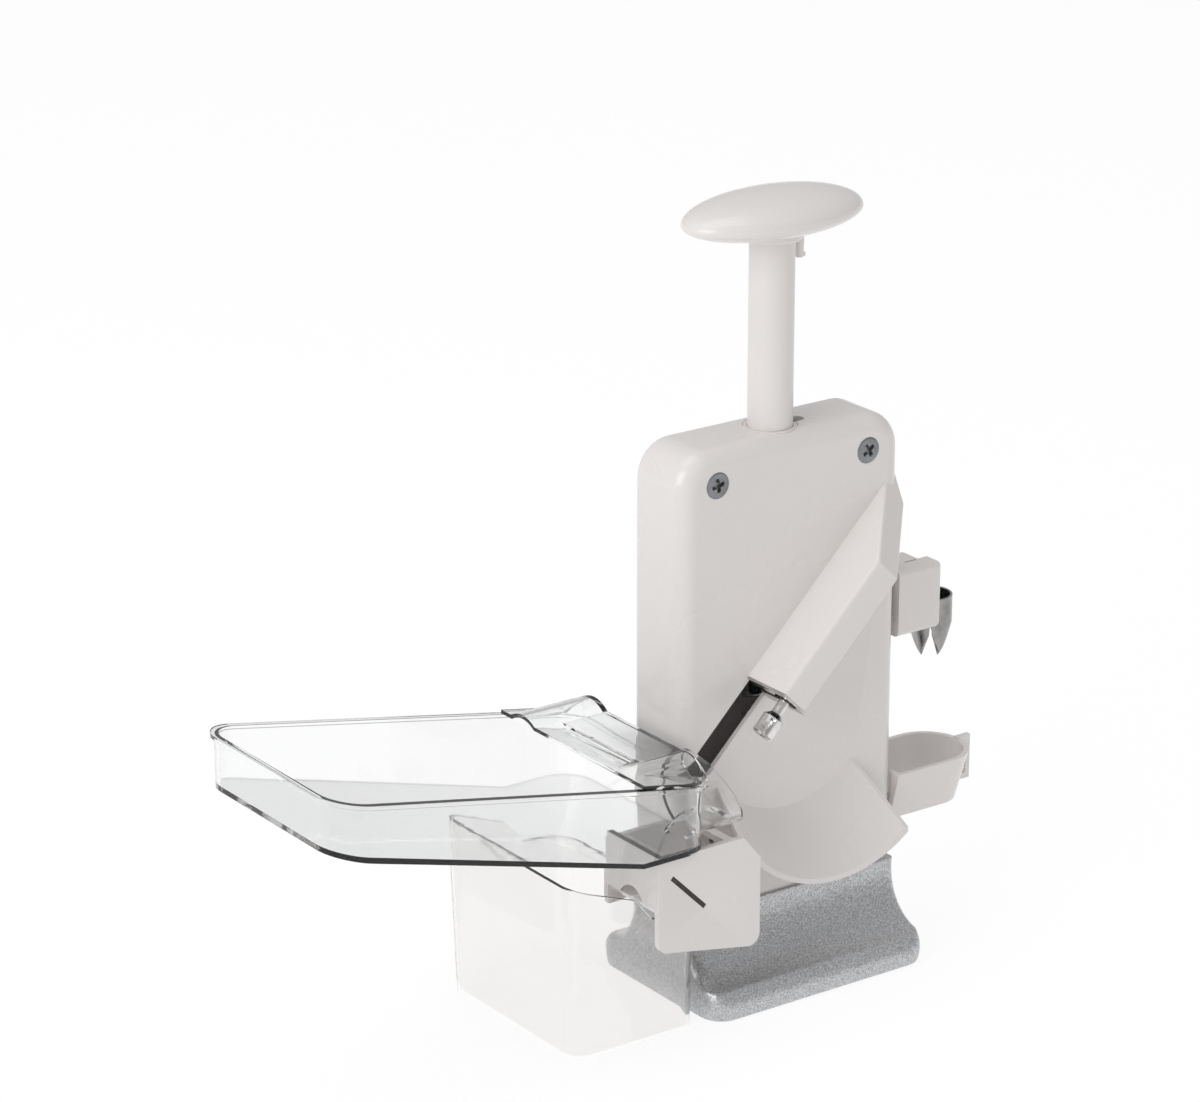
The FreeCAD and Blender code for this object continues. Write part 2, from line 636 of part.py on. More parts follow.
def knob():
    """Oval push knob with its boss, and the lock peg with a nub below it."""
    upper = Part.makeSphere(1.0, V(0, 0, 0), Z_AXIS, 0, 90, 360)
    lower = Part.makeSphere(1.0, V(0, 0, 0), Z_AXIS, -90, 0, 360)
    equator = KNOB_BOTTOM + KNOB_EQUATOR

    def stretch(shape, height):
        matrix = FreeCAD.Matrix()
        matrix.scale(KNOB_LENGTH / 2, KNOB_WIDTH / 2, height)
        grown = shape.transformGeometry(matrix)
        grown.translate(V(0, 0, equator))
        return grown
    body = stretch(upper, KNOB_HEIGHT - KNOB_EQUATOR).fuse(stretch(lower, KNOB_EQUATOR))
    boss = rod(V(0, 0, KNOB_BOTTOM - 1.5), Z_AXIS, KNOB_BOSS, KNOB_EQUATOR)
    peg = Part.makeCone(PEG_RADIUS - 0.3, PEG_RADIUS, equator - PEG_BOTTOM, V(PEG_X, 0, PEG_BOTTOM), Z_AXIS)
    nub = box(PEG_X - 0.6, PEG_X + PEG_RADIUS + 0.5, -0.8, 0.8, PEG_BOTTOM, PEG_BOTTOM + 2.2)
    socket = rod(V(0, 0, KNOB_BOTTOM - 5), Z_AXIS, COLUMN_RADIUS, COLUMN_TOP - KNOB_BOTTOM + 5)
    return cut(fuse(body, boss, peg, nub), socket)


def column_bush():
    """Plastic bush that guides the column through the roof of the casing."""
    sleeve = rod(V(0, 0, CASE_TOP - BUSH_DEPTH), Z_AXIS, BUSH_RADIUS - BUSH_FIT, BUSH_DEPTH)
    flange = rod(V(0, 0, INNER_TOP - BUSH_FLANGE_THICK), Z_AXIS, BUSH_FLANGE, BUSH_FLANGE_THICK)
    flange = flange.common(box(-BUSH_FLANGE, BUSH_FLANGE, CASE_FRONT + CASE_EDGE_FRONT,
                               -CASE_FRONT - CASE_EDGE_BACK, CASE_BOTTOM, CASE_TOP))
    bore = rod(V(0, 0, CASE_TOP - BUSH_DEPTH - 1), Z_AXIS, COLUMN_RADIUS + RUNNING_FIT, BUSH_DEPTH + 4)
    return cut(fuse(sleeve, flange), bore, peg_notch(CASE_TOP - BUSH_DEPTH - 1, CASE_TOP + 5))


def follower_centre():
    """Rest place of the follower in the XZ plane."""
    return pin_point(FOLLOWER_AT, 0)


def cam_far_end():
    """Place of the follower in the carriage at the end of the stroke."""
    start = follower_centre()
    return V(start.x - DIAGONAL * PIN_TRAVEL, 0, start.z - DIAGONAL * PIN_TRAVEL + PLUNGER_TRAVEL)


def cam_slot():
    """Inclined slot that turns the downstroke into the diagonal stroke of the pin."""
    start = follower_centre()
    end = cam_far_end()
    run = end - start
    half = ROLLER_RADIUS + SLIDING_GAP
    length = run.Length
    slot = box(0, length, CAM_FRONT - 1, CAM_BACK + 1, -half, half)
    caps = [rod(V(d, CAM_FRONT - 1, 0), Y_AXIS, half, CAM_THICK + 2) for d in (0, length)]
    slot = slot.multiFuse(caps)
    slot.rotate(V(0, 0, 0), Y_AXIS, -math.degrees(math.atan2(run.z, run.x)))
    slot.translate(V(start.x, 0, start.z))
    return slot


def carriage():
    """Hub, cam plate and side arm in one moulding."""
    start = follower_centre()
    end = cam_far_end()
    reach = ROLLER_RADIUS + CAM_MARGIN
    plate = prism_y([(HUB_BLOCK_HALF_X + WEB_THICK, start.z - reach), (start.x - reach, start.z - reach),
                     (end.x - reach, end.z - reach), (end.x - reach, end.z + reach),
                     (-HUB_BLOCK_HALF_X, HUB_BLOCK_BOTTOM + 4),
                     (HUB_BLOCK_HALF_X + WEB_THICK, HUB_BLOCK_BOTTOM + 4)],
                    CAM_FRONT, CAM_BACK)
    hub = box(-HUB_BLOCK_HALF_X, HUB_BLOCK_HALF_X, -HUB_BLOCK_HALF_Y, HUB_BLOCK_HALF_Y,
              HUB_BLOCK_BOTTOM, HUB_BLOCK_TOP)
    web = box(HUB_BLOCK_HALF_X, HUB_BLOCK_HALF_X + WEB_THICK, CAM_FRONT, ARM_BAR_HALF,
              ARM_BAR_BOTTOM, HUB_BLOCK_TOP)
    bar = box(HUB_BLOCK_HALF_X, BAR_END, -ARM_BAR_HALF, ARM_BAR_HALF, ARM_BAR_BOTTOM, ARM_BAR_TOP)
    socket = rod(V(0, 0, COLUMN_SEAT), Z_AXIS, COLUMN_RADIUS, HUB_BLOCK_TOP)
    cross = rod(V(-HUB_BLOCK_HALF_X - 1, 0, cross_pin_z()), X_AXIS, CROSS_PIN_RADIUS,
                2 * HUB_BLOCK_HALF_X + 1)
    return cut(fuse(plate, hub, web, bar), socket, cross, block_screw_bar(), cam_slot())


def spring_guide_rod():
    """Rod with a flange on the casing floor, inside the return spring."""
    flange = rod(V(0, SPRING_Y, INNER_BOTTOM), Z_AXIS, ROD_FLANGE, ROD_FLANGE_THICK)
    stem = rod(V(0, SPRING_Y, INNER_BOTTOM), Z_AXIS, ROD_RADIUS, ROD_TOP - INNER_BOTTOM)
    return fuse(flange, stem)


def end_stop_bumper():
    """Rubber cap on the rod that stops the carriage."""
    return rod(V(0, SPRING_Y, ROD_TOP), Z_AXIS, BUMPER_RADIUS, BUMPER_HEIGHT)


def return_spring():
    """Round-wire coil spring: quarter-turn arcs that climb steadily, as one unbroken tube."""
    bottom = INNER_BOTTOM + ROD_FLANGE_THICK + SPRING_WIRE + 0.05
    height = HUB_BLOCK_BOTTOM - SPRING_WIRE - 0.05 - bottom
    pitch = height / SPRING_TURNS

    def point(turn):
        angle = 2 * math.pi * turn
        return V(SPRING_RADIUS * math.cos(angle), SPRING_Y + SPRING_RADIUS * math.sin(angle),
                 bottom + pitch * turn)

    def tangent(turn):
        angle = 2 * math.pi * turn
        slope = V(-math.sin(angle) * SPRING_RADIUS, math.cos(angle) * SPRING_RADIUS, pitch / (2 * math.pi))
        return slope.normalize()
    edges = []
    steps = 4 * SPRING_TURNS
    for i in range(steps):
        a, b = i / 4, (i + 1) / 4
        p, q, tp, tq = point(a), point(b), tangent(a), tangent(b)
        chord = q - p
        # biarc with equal legs: the joint lies midway between the two tangent points
        both = tp + tq
        qa = both.dot(both) - 4
        qb = -2 * chord.dot(both)
        qc = chord.dot(chord)
        leg = (-qb - math.sqrt(qb * qb - 4 * qa * qc)) / (2 * qa)
        if leg < 0:
            leg = (-qb + math.sqrt(qb * qb - 4 * qa * qc)) / (2 * qa)
        joint = (p + tp * leg + q - tq * leg) * 0.5
        for start, aim, finish in ((p, tp, joint), (joint, None, q)):
            if aim is None:
                aim = (q - tq * leg - p - tp * leg).normalize()
            edges.append(arc_from_tangent(start, aim, finish))
    path = Part.Wire(edges)
    circle = Part.Wire(Part.makeCircle(SPRING_WIRE, point(0), tangent(0)))
    tube = path.makePipeShell([circle], True, False)
    gap = spring_gap(point, steps)
    print("return_spring pitch", round(pitch, 3), "least gap to itself", round(gap, 3))
    return tube


def arc_from_tangent(start, aim, finish):
    """Arc that leaves start along aim and ends at finish."""
    chord = finish - start
    normal = aim.cross(chord)
    side = normal.cross(aim).normalize()
    radius = chord.dot(chord) / (2 * chord.dot(side))
    centre = start + side * radius
    half = ((start - centre) + (finish - centre)).normalize() * radius
    return Part.Arc(start, centre + half, finish).toShape()


def spring_gap(point, steps):
    """Least gap between neighbouring turns, measured on points of the centre line."""
    least = 1e9
    for i in range(0, steps, 3):
        here = point(i / 4)
        for j in range(i + 3, min(i + 7, steps)):
            least = min(least, (point(j / 4) - here).Length)
    return least - 2 * SPRING_WIRE


# Cherry slider: arm, pin and follower

def cherry_slider():
    """Plate behind the front wall with an arm through the slot to the pin."""
    back = ARM_START + ARM_LENGTH / 2
    plate = prism_y([(back, -SLIDER_HALF), (SLIDER_END, -SLIDER_HALF), (SLIDER_END, SLIDER_HALF),
                     (back + SLIDER_CHAMFER, SLIDER_HALF), (back, SLIDER_HALF - SLIDER_CHAMFER)],
                    SLIDER_FRONT, SLIDER_BACK)
    root_half = SLOT_HALF - SLIDING_GAP
    root = box(ARM_START, ARM_START + ARM_LENGTH, CASE_FRONT, SLIDER_BACK, -root_half, root_half)
    arm = box(ARM_START, ARM_START + ARM_LENGTH, PIN_Y, SLIDER_BACK, -ARM_HALF, ARM_HALF)
    hub = rod(V(ARM_START, PIN_Y, 0), X_AXIS, HUB_RADIUS, ARM_LENGTH + 2)
    hub = hub.common(box(ARM_START, PIN_BACK, HOOD_FRONT + HOOD_WALL + LOOSE_GAP, 0, -9, 9))
    body = fuse(plate, root, arm, hub)
    bore = rod(V(ARM_START - 1, PIN_Y, 0), X_AXIS, PIN_RADIUS, ARM_LENGTH + 6)
    follower = rod(V(FOLLOWER_AT, SLIDER_FRONT - 1, 0), Y_AXIS, FOLLOWER_RADIUS, SLIDER_THICK + 2)
    screw = rod(V(ARM_START + ARM_LENGTH / 2, PIN_Y, 0), Z_AXIS, SET_SCREW_RADIUS, HUB_RADIUS + 1)
    return on_pin_line(cut(body, bore, follower, screw))


def follower_pin():
    """Steel pin that carries the roller."""
    return on_pin_line(rod(V(FOLLOWER_AT, SLIDER_FRONT, 0), Y_AXIS, FOLLOWER_RADIUS,
                           CAM_BACK - SLIDER_FRONT + 1))


def follower_roller():
    """Roller in the inclined slot of the carriage."""
    start_y = SLIDER_BACK + 0.3
    ring = rod(V(FOLLOWER_AT, start_y, 0), Y_AXIS, ROLLER_RADIUS, CAM_BACK - start_y)
    bore = rod(V(FOLLOWER_AT, start_y - 1, 0), Y_AXIS, FOLLOWER_RADIUS + 0.05, CAM_BACK - start_y + 2)
    return on_pin_line(ring.cut(bore))


def cherry_pin():
    """Pitting pin with a four-fluted head."""
    shaft = rod(V(-PIN_REACH + 2, PIN_Y, 0), X_AXIS, PIN_RADIUS, PIN_REACH - 2 + PIN_BACK)
    head = rod(V(-PIN_REACH, PIN_Y, 0), X_AXIS, PIN_TIP_RADIUS, PIN_TIP_LENGTH)
    collar = Part.makeCone(PIN_TIP_RADIUS, PIN_RADIUS, 1.6, V(-PIN_REACH + PIN_TIP_LENGTH, PIN_Y, 0), X_AXIS)
    body = fuse(shaft, head, collar)
    for quarter in range(4):
        angle = math.radians(45 + 90 * quarter)
        y = PIN_Y + (PIN_TIP_RADIUS + 0.3) * math.cos(angle)
        z = (PIN_TIP_RADIUS + 0.3) * math.sin(angle)
        body = body.cut(rod(V(-PIN_REACH - 1, y, z), X_AXIS, FLUTE_RADIUS, PIN_TIP_LENGTH - 0.6))
    dish = Part.makeCone(2.2, 0.4, 1.8, V(-PIN_REACH - 0.01, PIN_Y, 0), X_AXIS)
    return on_pin_line(body.cut(dish))


def pin_set_screw():
    """Grub screw that holds the pin in the arm."""
    return on_pin_line(rod(V(ARM_START + ARM_LENGTH / 2, PIN_Y, PIN_RADIUS), Z_AXIS, SET_SCREW_RADIUS,
                           HUB_RADIUS - PIN_RADIUS - 0.2))


# Stripper plate

def stripper_places():
    """Distances along the hood of the two stripper screws, each with its own y."""
    return ((5.5, -22.0), (5.5, -29.5))


def stripper_screw_bar(place, radius):
    """Bar along the screw axis, from the plate into the hood wall."""
    along, y = place
    length = STRIPPER_THICK + 1 + HOOD_WALL + 0.5
    bar = rod(V(along, y, -HOOD_HALF - STRIPPER_THICK - 1), Z_AXIS, radius, length)
    return on_pin_line(bar)


def stripper_plate():
    """Angle plate at the mouth with a keyhole for the pin and its arm."""
    low = -HOOD_HALF - STRIPPER_THICK
    foot = box(-STRIPPER_THICK, 0, HOOD_FRONT, CASE_FRONT - 0.4, low, HOOD_HALF)
    leg = box(-STRIPPER_THICK, STRIPPER_LEG, HOOD_FRONT + 2, CASE_FRONT - 1, low, -HOOD_HALF)
    hole = rod(V(-STRIPPER_THICK - 1, PIN_Y, 0), X_AXIS, STRIPPER_HOLE, STRIPPER_THICK + 2)
    slit = box(-STRIPPER_THICK - 1, 1, PIN_Y, 0, -ARM_HALF - LOOSE_GAP, ARM_HALF + LOOSE_GAP)
    plate = cut(fuse(foot, leg), hole, slit)
    holes = [stripper_screw_bar(place, STRIPPER_SCREW_RADIUS) for place in stripper_places()]
    return cut(on_pin_line(plate), *holes)


def stripper_screws():
    """Two small screws that hold the stripper plate to the hood."""
    screws = []
    low = -HOOD_HALF - STRIPPER_THICK
    for along, y in stripper_places():
        head = rod(V(along, y, low - 1.0), Z_AXIS, STRIPPER_SCREW_HEAD, 1.0)
        shank = rod(V(along, y, low - 0.5), Z_AXIS, STRIPPER_SCREW_RADIUS, STRIPPER_THICK + HOOD_WALL + 0.3)
        screws.append(on_pin_line(fuse(head, shank)))
    return Part.makeCompound(screws)


# Plum unit

def block_screw_x():
    """Place of the screw that clamps the block on the arm."""
    return (BLOCK_LEFT + BAR_END) / 2


def block_screw_z():
    """Height of the block screw, at the middle of the arm."""
    return (ARM_BAR_BOTTOM + ARM_BAR_TOP) / 2


def plum_block():
    """Block that carries the plum cutter on the side arm: a front slab with a boss behind it."""
    slab = box(BLOCK_LEFT, BLOCK_RIGHT, -BLOCK_HALF, BLOCK_STEP_Y, BLOCK_BOTTOM, BLOCK_TOP)
    boss = box(BLOCK_LEFT, BLOCK_STEP_X, BLOCK_STEP_Y - 1, BLOCK_HALF, BLOCK_BOTTOM, BLOCK_TOP)
    slab = slab.makeFillet(BLOCK_EDGE, [e for e in slab.Edges if e.CenterOfMass.x > BLOCK_LEFT + 1
                                        and e.CenterOfMass.y < BLOCK_STEP_Y - 1])
    boss = boss.makeFillet(BLOCK_EDGE, [e for e in boss.Edges if e.CenterOfMass.x > BLOCK_LEFT + 1
                                        and e.CenterOfMass.y > BLOCK_STEP_Y])
    body = fuse(slab, boss)
    socket = box(BLOCK_LEFT - 1, BAR_END, -ARM_BAR_HALF, ARM_BAR_HALF, ARM_BAR_BOTTOM, ARM_BAR_TOP)
    ring_seat = rod(V(CUTTER_X, 0, 0), Z_AXIS, CUTTER_RADIUS, CUTTER_TOP)
    slit = box(BLOCK_SLIT_START, BLOCK_SLIT_END, BLOCK_STEP_Y - BLOCK_SLIT_WIDTH, BLOCK_STEP_Y,
               BLOCK_TOP - BLOCK_SLIT_DEPTH, BLOCK_TOP + 1)
    return cut(body, socket, ring_seat, block_screw_bar(), slit)


def block_screw_bar():
    """Shank of the block screw, which comes in from the rear of the block."""
    start = V(block_screw_x(), BLOCK_SCREW_END, block_screw_z())
    return rod(start, Y_AXIS, BLOCK_SCREW_RADIUS, BLOCK_HALF - BLOCK_SCREW_END)


def block_screw():
    """Screw from the rear of the block through the side arm."""
    x, z = block_screw_x(), block_screw_z()
    head = rod(V(x, BLOCK_HALF, z), Y_AXIS, BLOCK_SCREW_HEAD, BLOCK_SCREW_HEAD_THICK)
    recess = cross_recess(V(x, BLOCK_HALF + BLOCK_SCREW_HEAD_THICK, z), Y_AXIS, 1.0, 1.7, 0.8)
    return cut(fuse(head, block_screw_bar()), recess)


def cutter_body(inset):
    """Round body of the plum cutter, straight above the bend and narrowing to the tips below it."""
    reach = 1 if inset else 0
    narrow = (CUTTER_RADIUS - CUTTER_TIP_RADIUS) / (CUTTER_BEND - CUTTER_BOTTOM) * reach
    low = V(CUTTER_X, 0, CUTTER_BOTTOM - reach)
    cone = Part.makeCone(CUTTER_TIP_RADIUS - inset - narrow, CUTTER_RADIUS - inset,
                         CUTTER_BEND - CUTTER_BOTTOM + reach, low, Z_AXIS)
    tube = rod(V(CUTTER_X, 0, CUTTER_BEND), Z_AXIS, CUTTER_RADIUS - inset, CUTTER_TOP - CUTTER_BEND + reach)
    return cone.fuse(tube)


def plum_cutter():
    """Thin steel tube with a crown of four pointed teeth that lean towards the middle."""
    ring = cutter_body(0).cut(cutter_body(CUTTER_WALL))
    half = CUTTER_TIP_RADIUS * math.sin(math.pi / CUTTER_TEETH) - 0.15
    slit_top = CUTTER_BEND - CUTTER_BOTTOM
    outline = [V(0, -half, -0.01), V(0, half, -0.01), V(0, CUTTER_SLIT_HALF, CUTTER_TOOTH_DEPTH),
               V(0, CUTTER_SLIT_HALF, slit_top), V(0, -CUTTER_SLIT_HALF, slit_top),
               V(0, -CUTTER_SLIT_HALF, CUTTER_TOOTH_DEPTH)]
    for tooth in range(CUTTER_TEETH):
        notch = Part.Face(Part.makePolygon(outline + outline[:1]))
        notch = notch.extrude(V(CUTTER_RADIUS + 3, 0, 0))
        notch.rotate(V(0, 0, 0), Z_AXIS, CUTTER_TURN + 360.0 * tooth / CUTTER_TEETH)
        notch.translate(V(CUTTER_X, 0, CUTTER_BOTTOM))
        ring = ring.cut(notch)
    return ring


def cup_outline(radius, z, left):
    """Wire of a channel that ends in a half circle round the cutter axis."""
    arc = Part.Arc(V(CUTTER_X, -radius, z), V(CUTTER_X + radius, 0, z), V(CUTTER_X, radius, z)).toShape()
    sides = Part.makePolygon([V(CUTTER_X, radius, z), V(left, radius, z), V(left, -radius, z),
                              V(CUTTER_X, -radius, z)])
    return Part.Wire([arc] + list(sides.Edges))


def plum_cup():
    """Cup on the side of the casing that holds the plum, with a hole for the pit."""
    low = CUP_TOP - CUP_HEIGHT
    body = Part.makeLoft([cup_outline(CUP_RADIUS, CUP_TOP, CASE_RIGHT),
                          cup_outline(CUP_RADIUS - CUP_DRAFT, low, CASE_RIGHT)], True, True)
    trough = Part.makeLoft([cup_outline(CUP_RADIUS - CUP_WALL + 0.2, CUP_TOP + 1, CASE_RIGHT + CUP_WALL),
                            cup_outline(CUP_RADIUS - CUP_WALL - CUP_DRAFT + 0.6, low + CUP_FLOOR,
                                        CASE_RIGHT + CUP_WALL)], True, True)
    gate = box(CASE_RIGHT - 1, CASE_RIGHT + CUP_WALL + 1, -BLOCK_HALF - 1, BLOCK_HALF + 1,
               low + CUP_STOP, CUP_TOP + 1)
    hole = rod(V(CUTTER_X, 0, low - 1), Z_AXIS, CUP_HOLE, CUP_HEIGHT)
    lug = box(CUTTER_X + CUP_RADIUS - 6, LUG_REACH, -LUG_THICK / 2, LUG_THICK / 2, LUG_BOTTOM, LUG_TOP)
    body = fuse(body, lug)
    lug_hole = rod(V(LUG_REACH - 3, -LUG_THICK, LUG_BOTTOM + 3.5), Y_AXIS, LUG_HOLE, 2 * LUG_THICK)
    screws = [rod(V(CASE_RIGHT - 1, y, cup_screw_z()), X_AXIS, HOLDER_SCREW_RADIUS, CUP_WALL + 2)
              for y in (-CUP_SCREW_Y, CUP_SCREW_Y)]
    return cut(body, trough, gate, hole, lug_hole, *screws)


def cup_screw_z():
    """Height of the screws that hold the cup."""
    return CUP_TOP - CUP_HEIGHT + 5.0


def cup_screws():
    """Two screws from inside the casing into the end wall of the cup."""
    screws = []
    inner = CASE_RIGHT - CASE_WALL
    for y in (-CUP_SCREW_Y, CUP_SCREW_Y):
        head = rod(V(inner - 1.8, y, cup_screw_z()), X_AXIS, 2.6, 1.8)
        shank = rod(V(inner - 1, y, cup_screw_z()), X_AXIS, HOLDER_SCREW_RADIUS, CASE_WALL + CUP_WALL + 0.8)
        screws.append(fuse(head, shank))
    return Part.makeCompound(screws)


# Holder in front of the casing

def holder_outline():
    """Front plate outline with its slanting lower edge."""
    return [(HOLDER_LEFT, HOLDER_LOW_LEFT), (HOLDER_RIGHT, HOLDER_LOW_RIGHT),
            (HOLDER_RIGHT, HOLDER_TOP - HOLDER_CUT_HEIGHT), (HOLDER_RIGHT - HOLDER_CUT_WIDTH, HOLDER_TOP),
            (HOLDER_LEFT, HOLDER_TOP)]


def cherry_holder():
    """Bracket with front plate, back plate, side walls, deck and the seat block."""
    inside_front = HOLDER_FRONT + HOLDER_WALL
    inside_back = CASE_FRONT - HOLDER_WALL
    front = prism_y(holder_outline(), HOLDER_FRONT, inside_front)
    low = [e for e in front.Edges if abs(e.tangentAt(e.FirstParameter).y) > 0.99
           and e.CenterOfMass.z < HOLDER_LOW_LEFT + 1]
    front = front.makeFillet(HOLDER_CORNER, low)
    back = prism_y([(HOLDER_LEFT, HOLDER_SIDE_FOOT), (-CASE_RIGHT, HOLDER_SIDE_FOOT),
                    (-CASE_RIGHT + 1, CASE_BOTTOM + 2), (HOLDER_RIGHT, CASE_BOTTOM + 2),
                    (HOLDER_RIGHT, DECK_TOP), (HOLDER_LEFT, DECK_TOP)], inside_back, CASE_FRONT)
    right = box(HOLDER_RIGHT - HOLDER_WALL, HOLDER_RIGHT, HOLDER_FRONT + 1, CASE_FRONT - 1,
                CASE_BOTTOM + 2, HOLDER_TOP - HOLDER_CUT_HEIGHT)
    inside_left = HOLDER_LEFT + HOLDER_WALL
    left = prism_y([(HOLDER_LEFT, step_height(HOLDER_LEFT) + BOX_RIM_GAP),
                    (inside_left, step_height(inside_left) + BOX_RIM_GAP),
                    (inside_left, HOLDER_TOP), (HOLDER_LEFT, HOLDER_TOP)], HOLDER_FRONT + 1, CASE_FRONT - 1)
    bend, low_end = HOLDER_RIGHT - HOLDER_CUT_WIDTH, HOLDER_TOP - HOLDER_CUT_HEIGHT
    deck = prism_y([(DECK_LEFT, DECK_TOP - HOLDER_WALL), (DECK_LEFT, DECK_TOP), (bend, DECK_TOP),
                    (HOLDER_RIGHT, low_end), (HOLDER_RIGHT, low_end - HOLDER_WALL),
                    (bend, DECK_TOP - HOLDER_WALL)], HOLDER_FRONT + 1, CASE_FRONT - 1)
    seat = on_pin_line(box(-SEAT_TOP_AT - SEAT_LENGTH, -SEAT_TOP_AT, HOLDER_FRONT + 1, CASE_FRONT - 1,
                           -SEAT_HALF, SEAT_HALF))
    bosses = [rod(V(HOLDER_SCREW_X, inside_back - 5, z), Y_AXIS, HOLDER_BOSS, 6)
              for z in (HOLDER_SCREW_LOW, HOLDER_SCREW_HIGH)]
    body = fuse(front, back, right, left, deck, seat, *bosses)
    bore = on_pin_line(rod(V(-SEAT_TOP_AT - SEAT_LENGTH - 6, PIN_Y, 0), X_AXIS, SEAT_BORE, SEAT_LENGTH + 12))
    holes = [rod(V(HOLDER_SCREW_X, inside_back - 6, z), Y_AXIS, HOLDER_SCREW_RADIUS, 10)
             for z in (HOLDER_SCREW_LOW, HOLDER_SCREW_HIGH)]
    return cut(body, bore, membrane_sheet(0.1), *holes)


def membrane_sheet(gap):
    """Sheet square to the pin, from the front face of the holder to its back plate."""
    half = MEMBRANE_LENGTH / 2 + gap
    middle = -MEMBRANE_AT
    return on_pin_line(box(middle - MEMBRANE_THICK / 2 - gap, middle + MEMBRANE_THICK / 2 + gap,
                           HOLDER_FRONT - (1 if gap else -0.3), CASE_FRONT - HOLDER_WALL, -half, half))


def seat_membrane():
    """Rubber sheet with crossed slits that lets the pit through."""
    sheet = membrane_sheet(0)
    slits = [on_pin_line(box(-MEMBRANE_AT - 2, -MEMBRANE_AT + 2, PIN_Y - 6.5, PIN_Y + 6.5, -0.4, 0.4)),
             on_pin_line(box(-MEMBRANE_AT - 2, -MEMBRANE_AT + 2, PIN_Y - 0.4, PIN_Y + 0.4, -6.5, 6.5))]
    return cut(sheet, *slits)


def holder_screws():
    """Two screws from inside the casing into the holder."""
    screws = []
    for z in (HOLDER_SCREW_LOW, HOLDER_SCREW_HIGH):
        head = rod(V(HOLDER_SCREW_X, INNER_FRONT, z), Y_AXIS, 2.4, 1.8)
        shank = rod(V(HOLDER_SCREW_X, CASE_FRONT - 6, z), Y_AXIS, HOLDER_SCREW_RADIUS, CASE_WALL + 7)
        screws.append(fuse(head, shank))
    return Part.makeCompound(screws)


# Feed tray, its cover and the pit box

def rim_height(x):
    """Height of the tray rim at a place along X."""
    t = (x - TRAY_LEFT) / (TRAY_RIGHT - TRAY_LEFT)
    return TRAY_RIM_LEFT + t * (TRAY_RIM_RIGHT - TRAY_RIM_LEFT)


def tray_side(inset, top):
    """Side outline of the tray: sloping rim, sloping floor and a level end."""
    left, right = TRAY_LEFT + inset, TRAY_RIGHT - inset
    low_left = TRAY_RIM_LEFT - TRAY_DEPTH_LEFT + inset
    low = HOLDER_TOP + inset
    return [(left, low_left), (TRAY_KNEE, low), (right, low), (right, rim_height(right) + top),
            (left, rim_height(left) + top)]


def tray_body(inset, top, grow=0.0):
    """Tray block with rounded plan corners."""
    side = prism_y(tray_side(inset, top), TRAY_FRONT - 20, TRAY_BACK + 20)
    plan = rounded_plate(TRAY_LEFT + inset - grow, TRAY_RIGHT - inset + grow, TRAY_FRONT + inset - grow,
                         TRAY_BACK - inset + grow, 50, 160, TRAY_CORNER - inset + grow)
    return side.common(plan)


def tube_end_cutter():
    """Wedge that cuts the outlet tube off on a slant."""
    top = HOLDER_TOP + 2 * TUBE_RADIUS
    lean = (TUBE_LOW_END - TUBE_HIGH_END) / (2 * TUBE_RADIUS)
    reach = TUBE_LOW_END + 40
    return prism_y([(TUBE_LOW_END + 10 * lean, HOLDER_TOP - 10), (reach, HOLDER_TOP - 10), (reach, top + 10),
                    (TUBE_HIGH_END - 10 * lean, top + 10)], -60, 0)


def cherry_tray():
    """Clear feed tray with the outlet tube that hands the fruit to the seat."""
    outer = tray_body(0, 0)
    left, right = TRAY_LEFT - TRAY_LIP, TRAY_RIGHT + TRAY_LIP
    lip = rounded_plate(left, right, TRAY_FRONT - TRAY_LIP, TRAY_BACK + TRAY_LIP, 90, 150, TRAY_CORNER + TRAY_LIP)
    band = prism_y([(left, rim_height(left) - TRAY_LIP_THICK), (right, rim_height(right) - TRAY_LIP_THICK),
                    (right, rim_height(right)), (left, rim_height(left))], TRAY_FRONT - 20, TRAY_BACK + 20)
    lip = lip.common(band)
    tube = rod(V(TRAY_RIGHT - 14, PIN_Y, TUBE_AXIS), X_AXIS, TUBE_RADIUS, 60)
    under_rim = prism_y([(-150, 0), (0, 0), (0, 150), (TRAY_RIGHT, 150), (TRAY_RIGHT, TRAY_RIM_RIGHT),
                         (-150, rim_height(-150))], -90, 90)
    body = fuse(outer, lip, tube.common(under_rim))
    hollow = tray_body(TRAY_WALL, 5)
    bore = rod(V(TRAY_RIGHT - 16, PIN_Y, TUBE_AXIS), X_AXIS, TUBE_RADIUS - TUBE_WALL, 70)
    drop = on_pin_line(rod(V(-DROP_LOW, PIN_Y, 0), X_AXIS, TUBE_HOLE, DROP_LOW - DROP_HIGH))
    half = ARM_HALF + ARM_WAY_GAP
    arm_way = on_pin_line(box(ARM_START - PIN_TRAVEL - 1, ARM_START, PIN_Y, 0, -half, half))
    return cut(body, hollow, bore, drop, arm_way, tube_end_cutter())


def cover_form(inset):
    """Two round arches and the passage between them, inset by a wall."""
    right = TRAY_RIGHT - inset
    left = COVER_LEFT - (1 if inset else 0)
    arch = rod(V(left, ARCH_Y, ARCH_CENTRE), X_AXIS, ARCH_RADIUS - inset, right - left)
    tube = rod(V(left, PIN_Y, TUBE_AXIS), X_AXIS, TUBE_RADIUS - inset, right - left + (3 if inset else 0))
    passage = box(PASSAGE_LEFT + inset, right, PIN_Y, ARCH_Y, PASSAGE_BOTTOM, PASSAGE_TOP - inset)
    return arch.fuse(tube).fuse(passage)


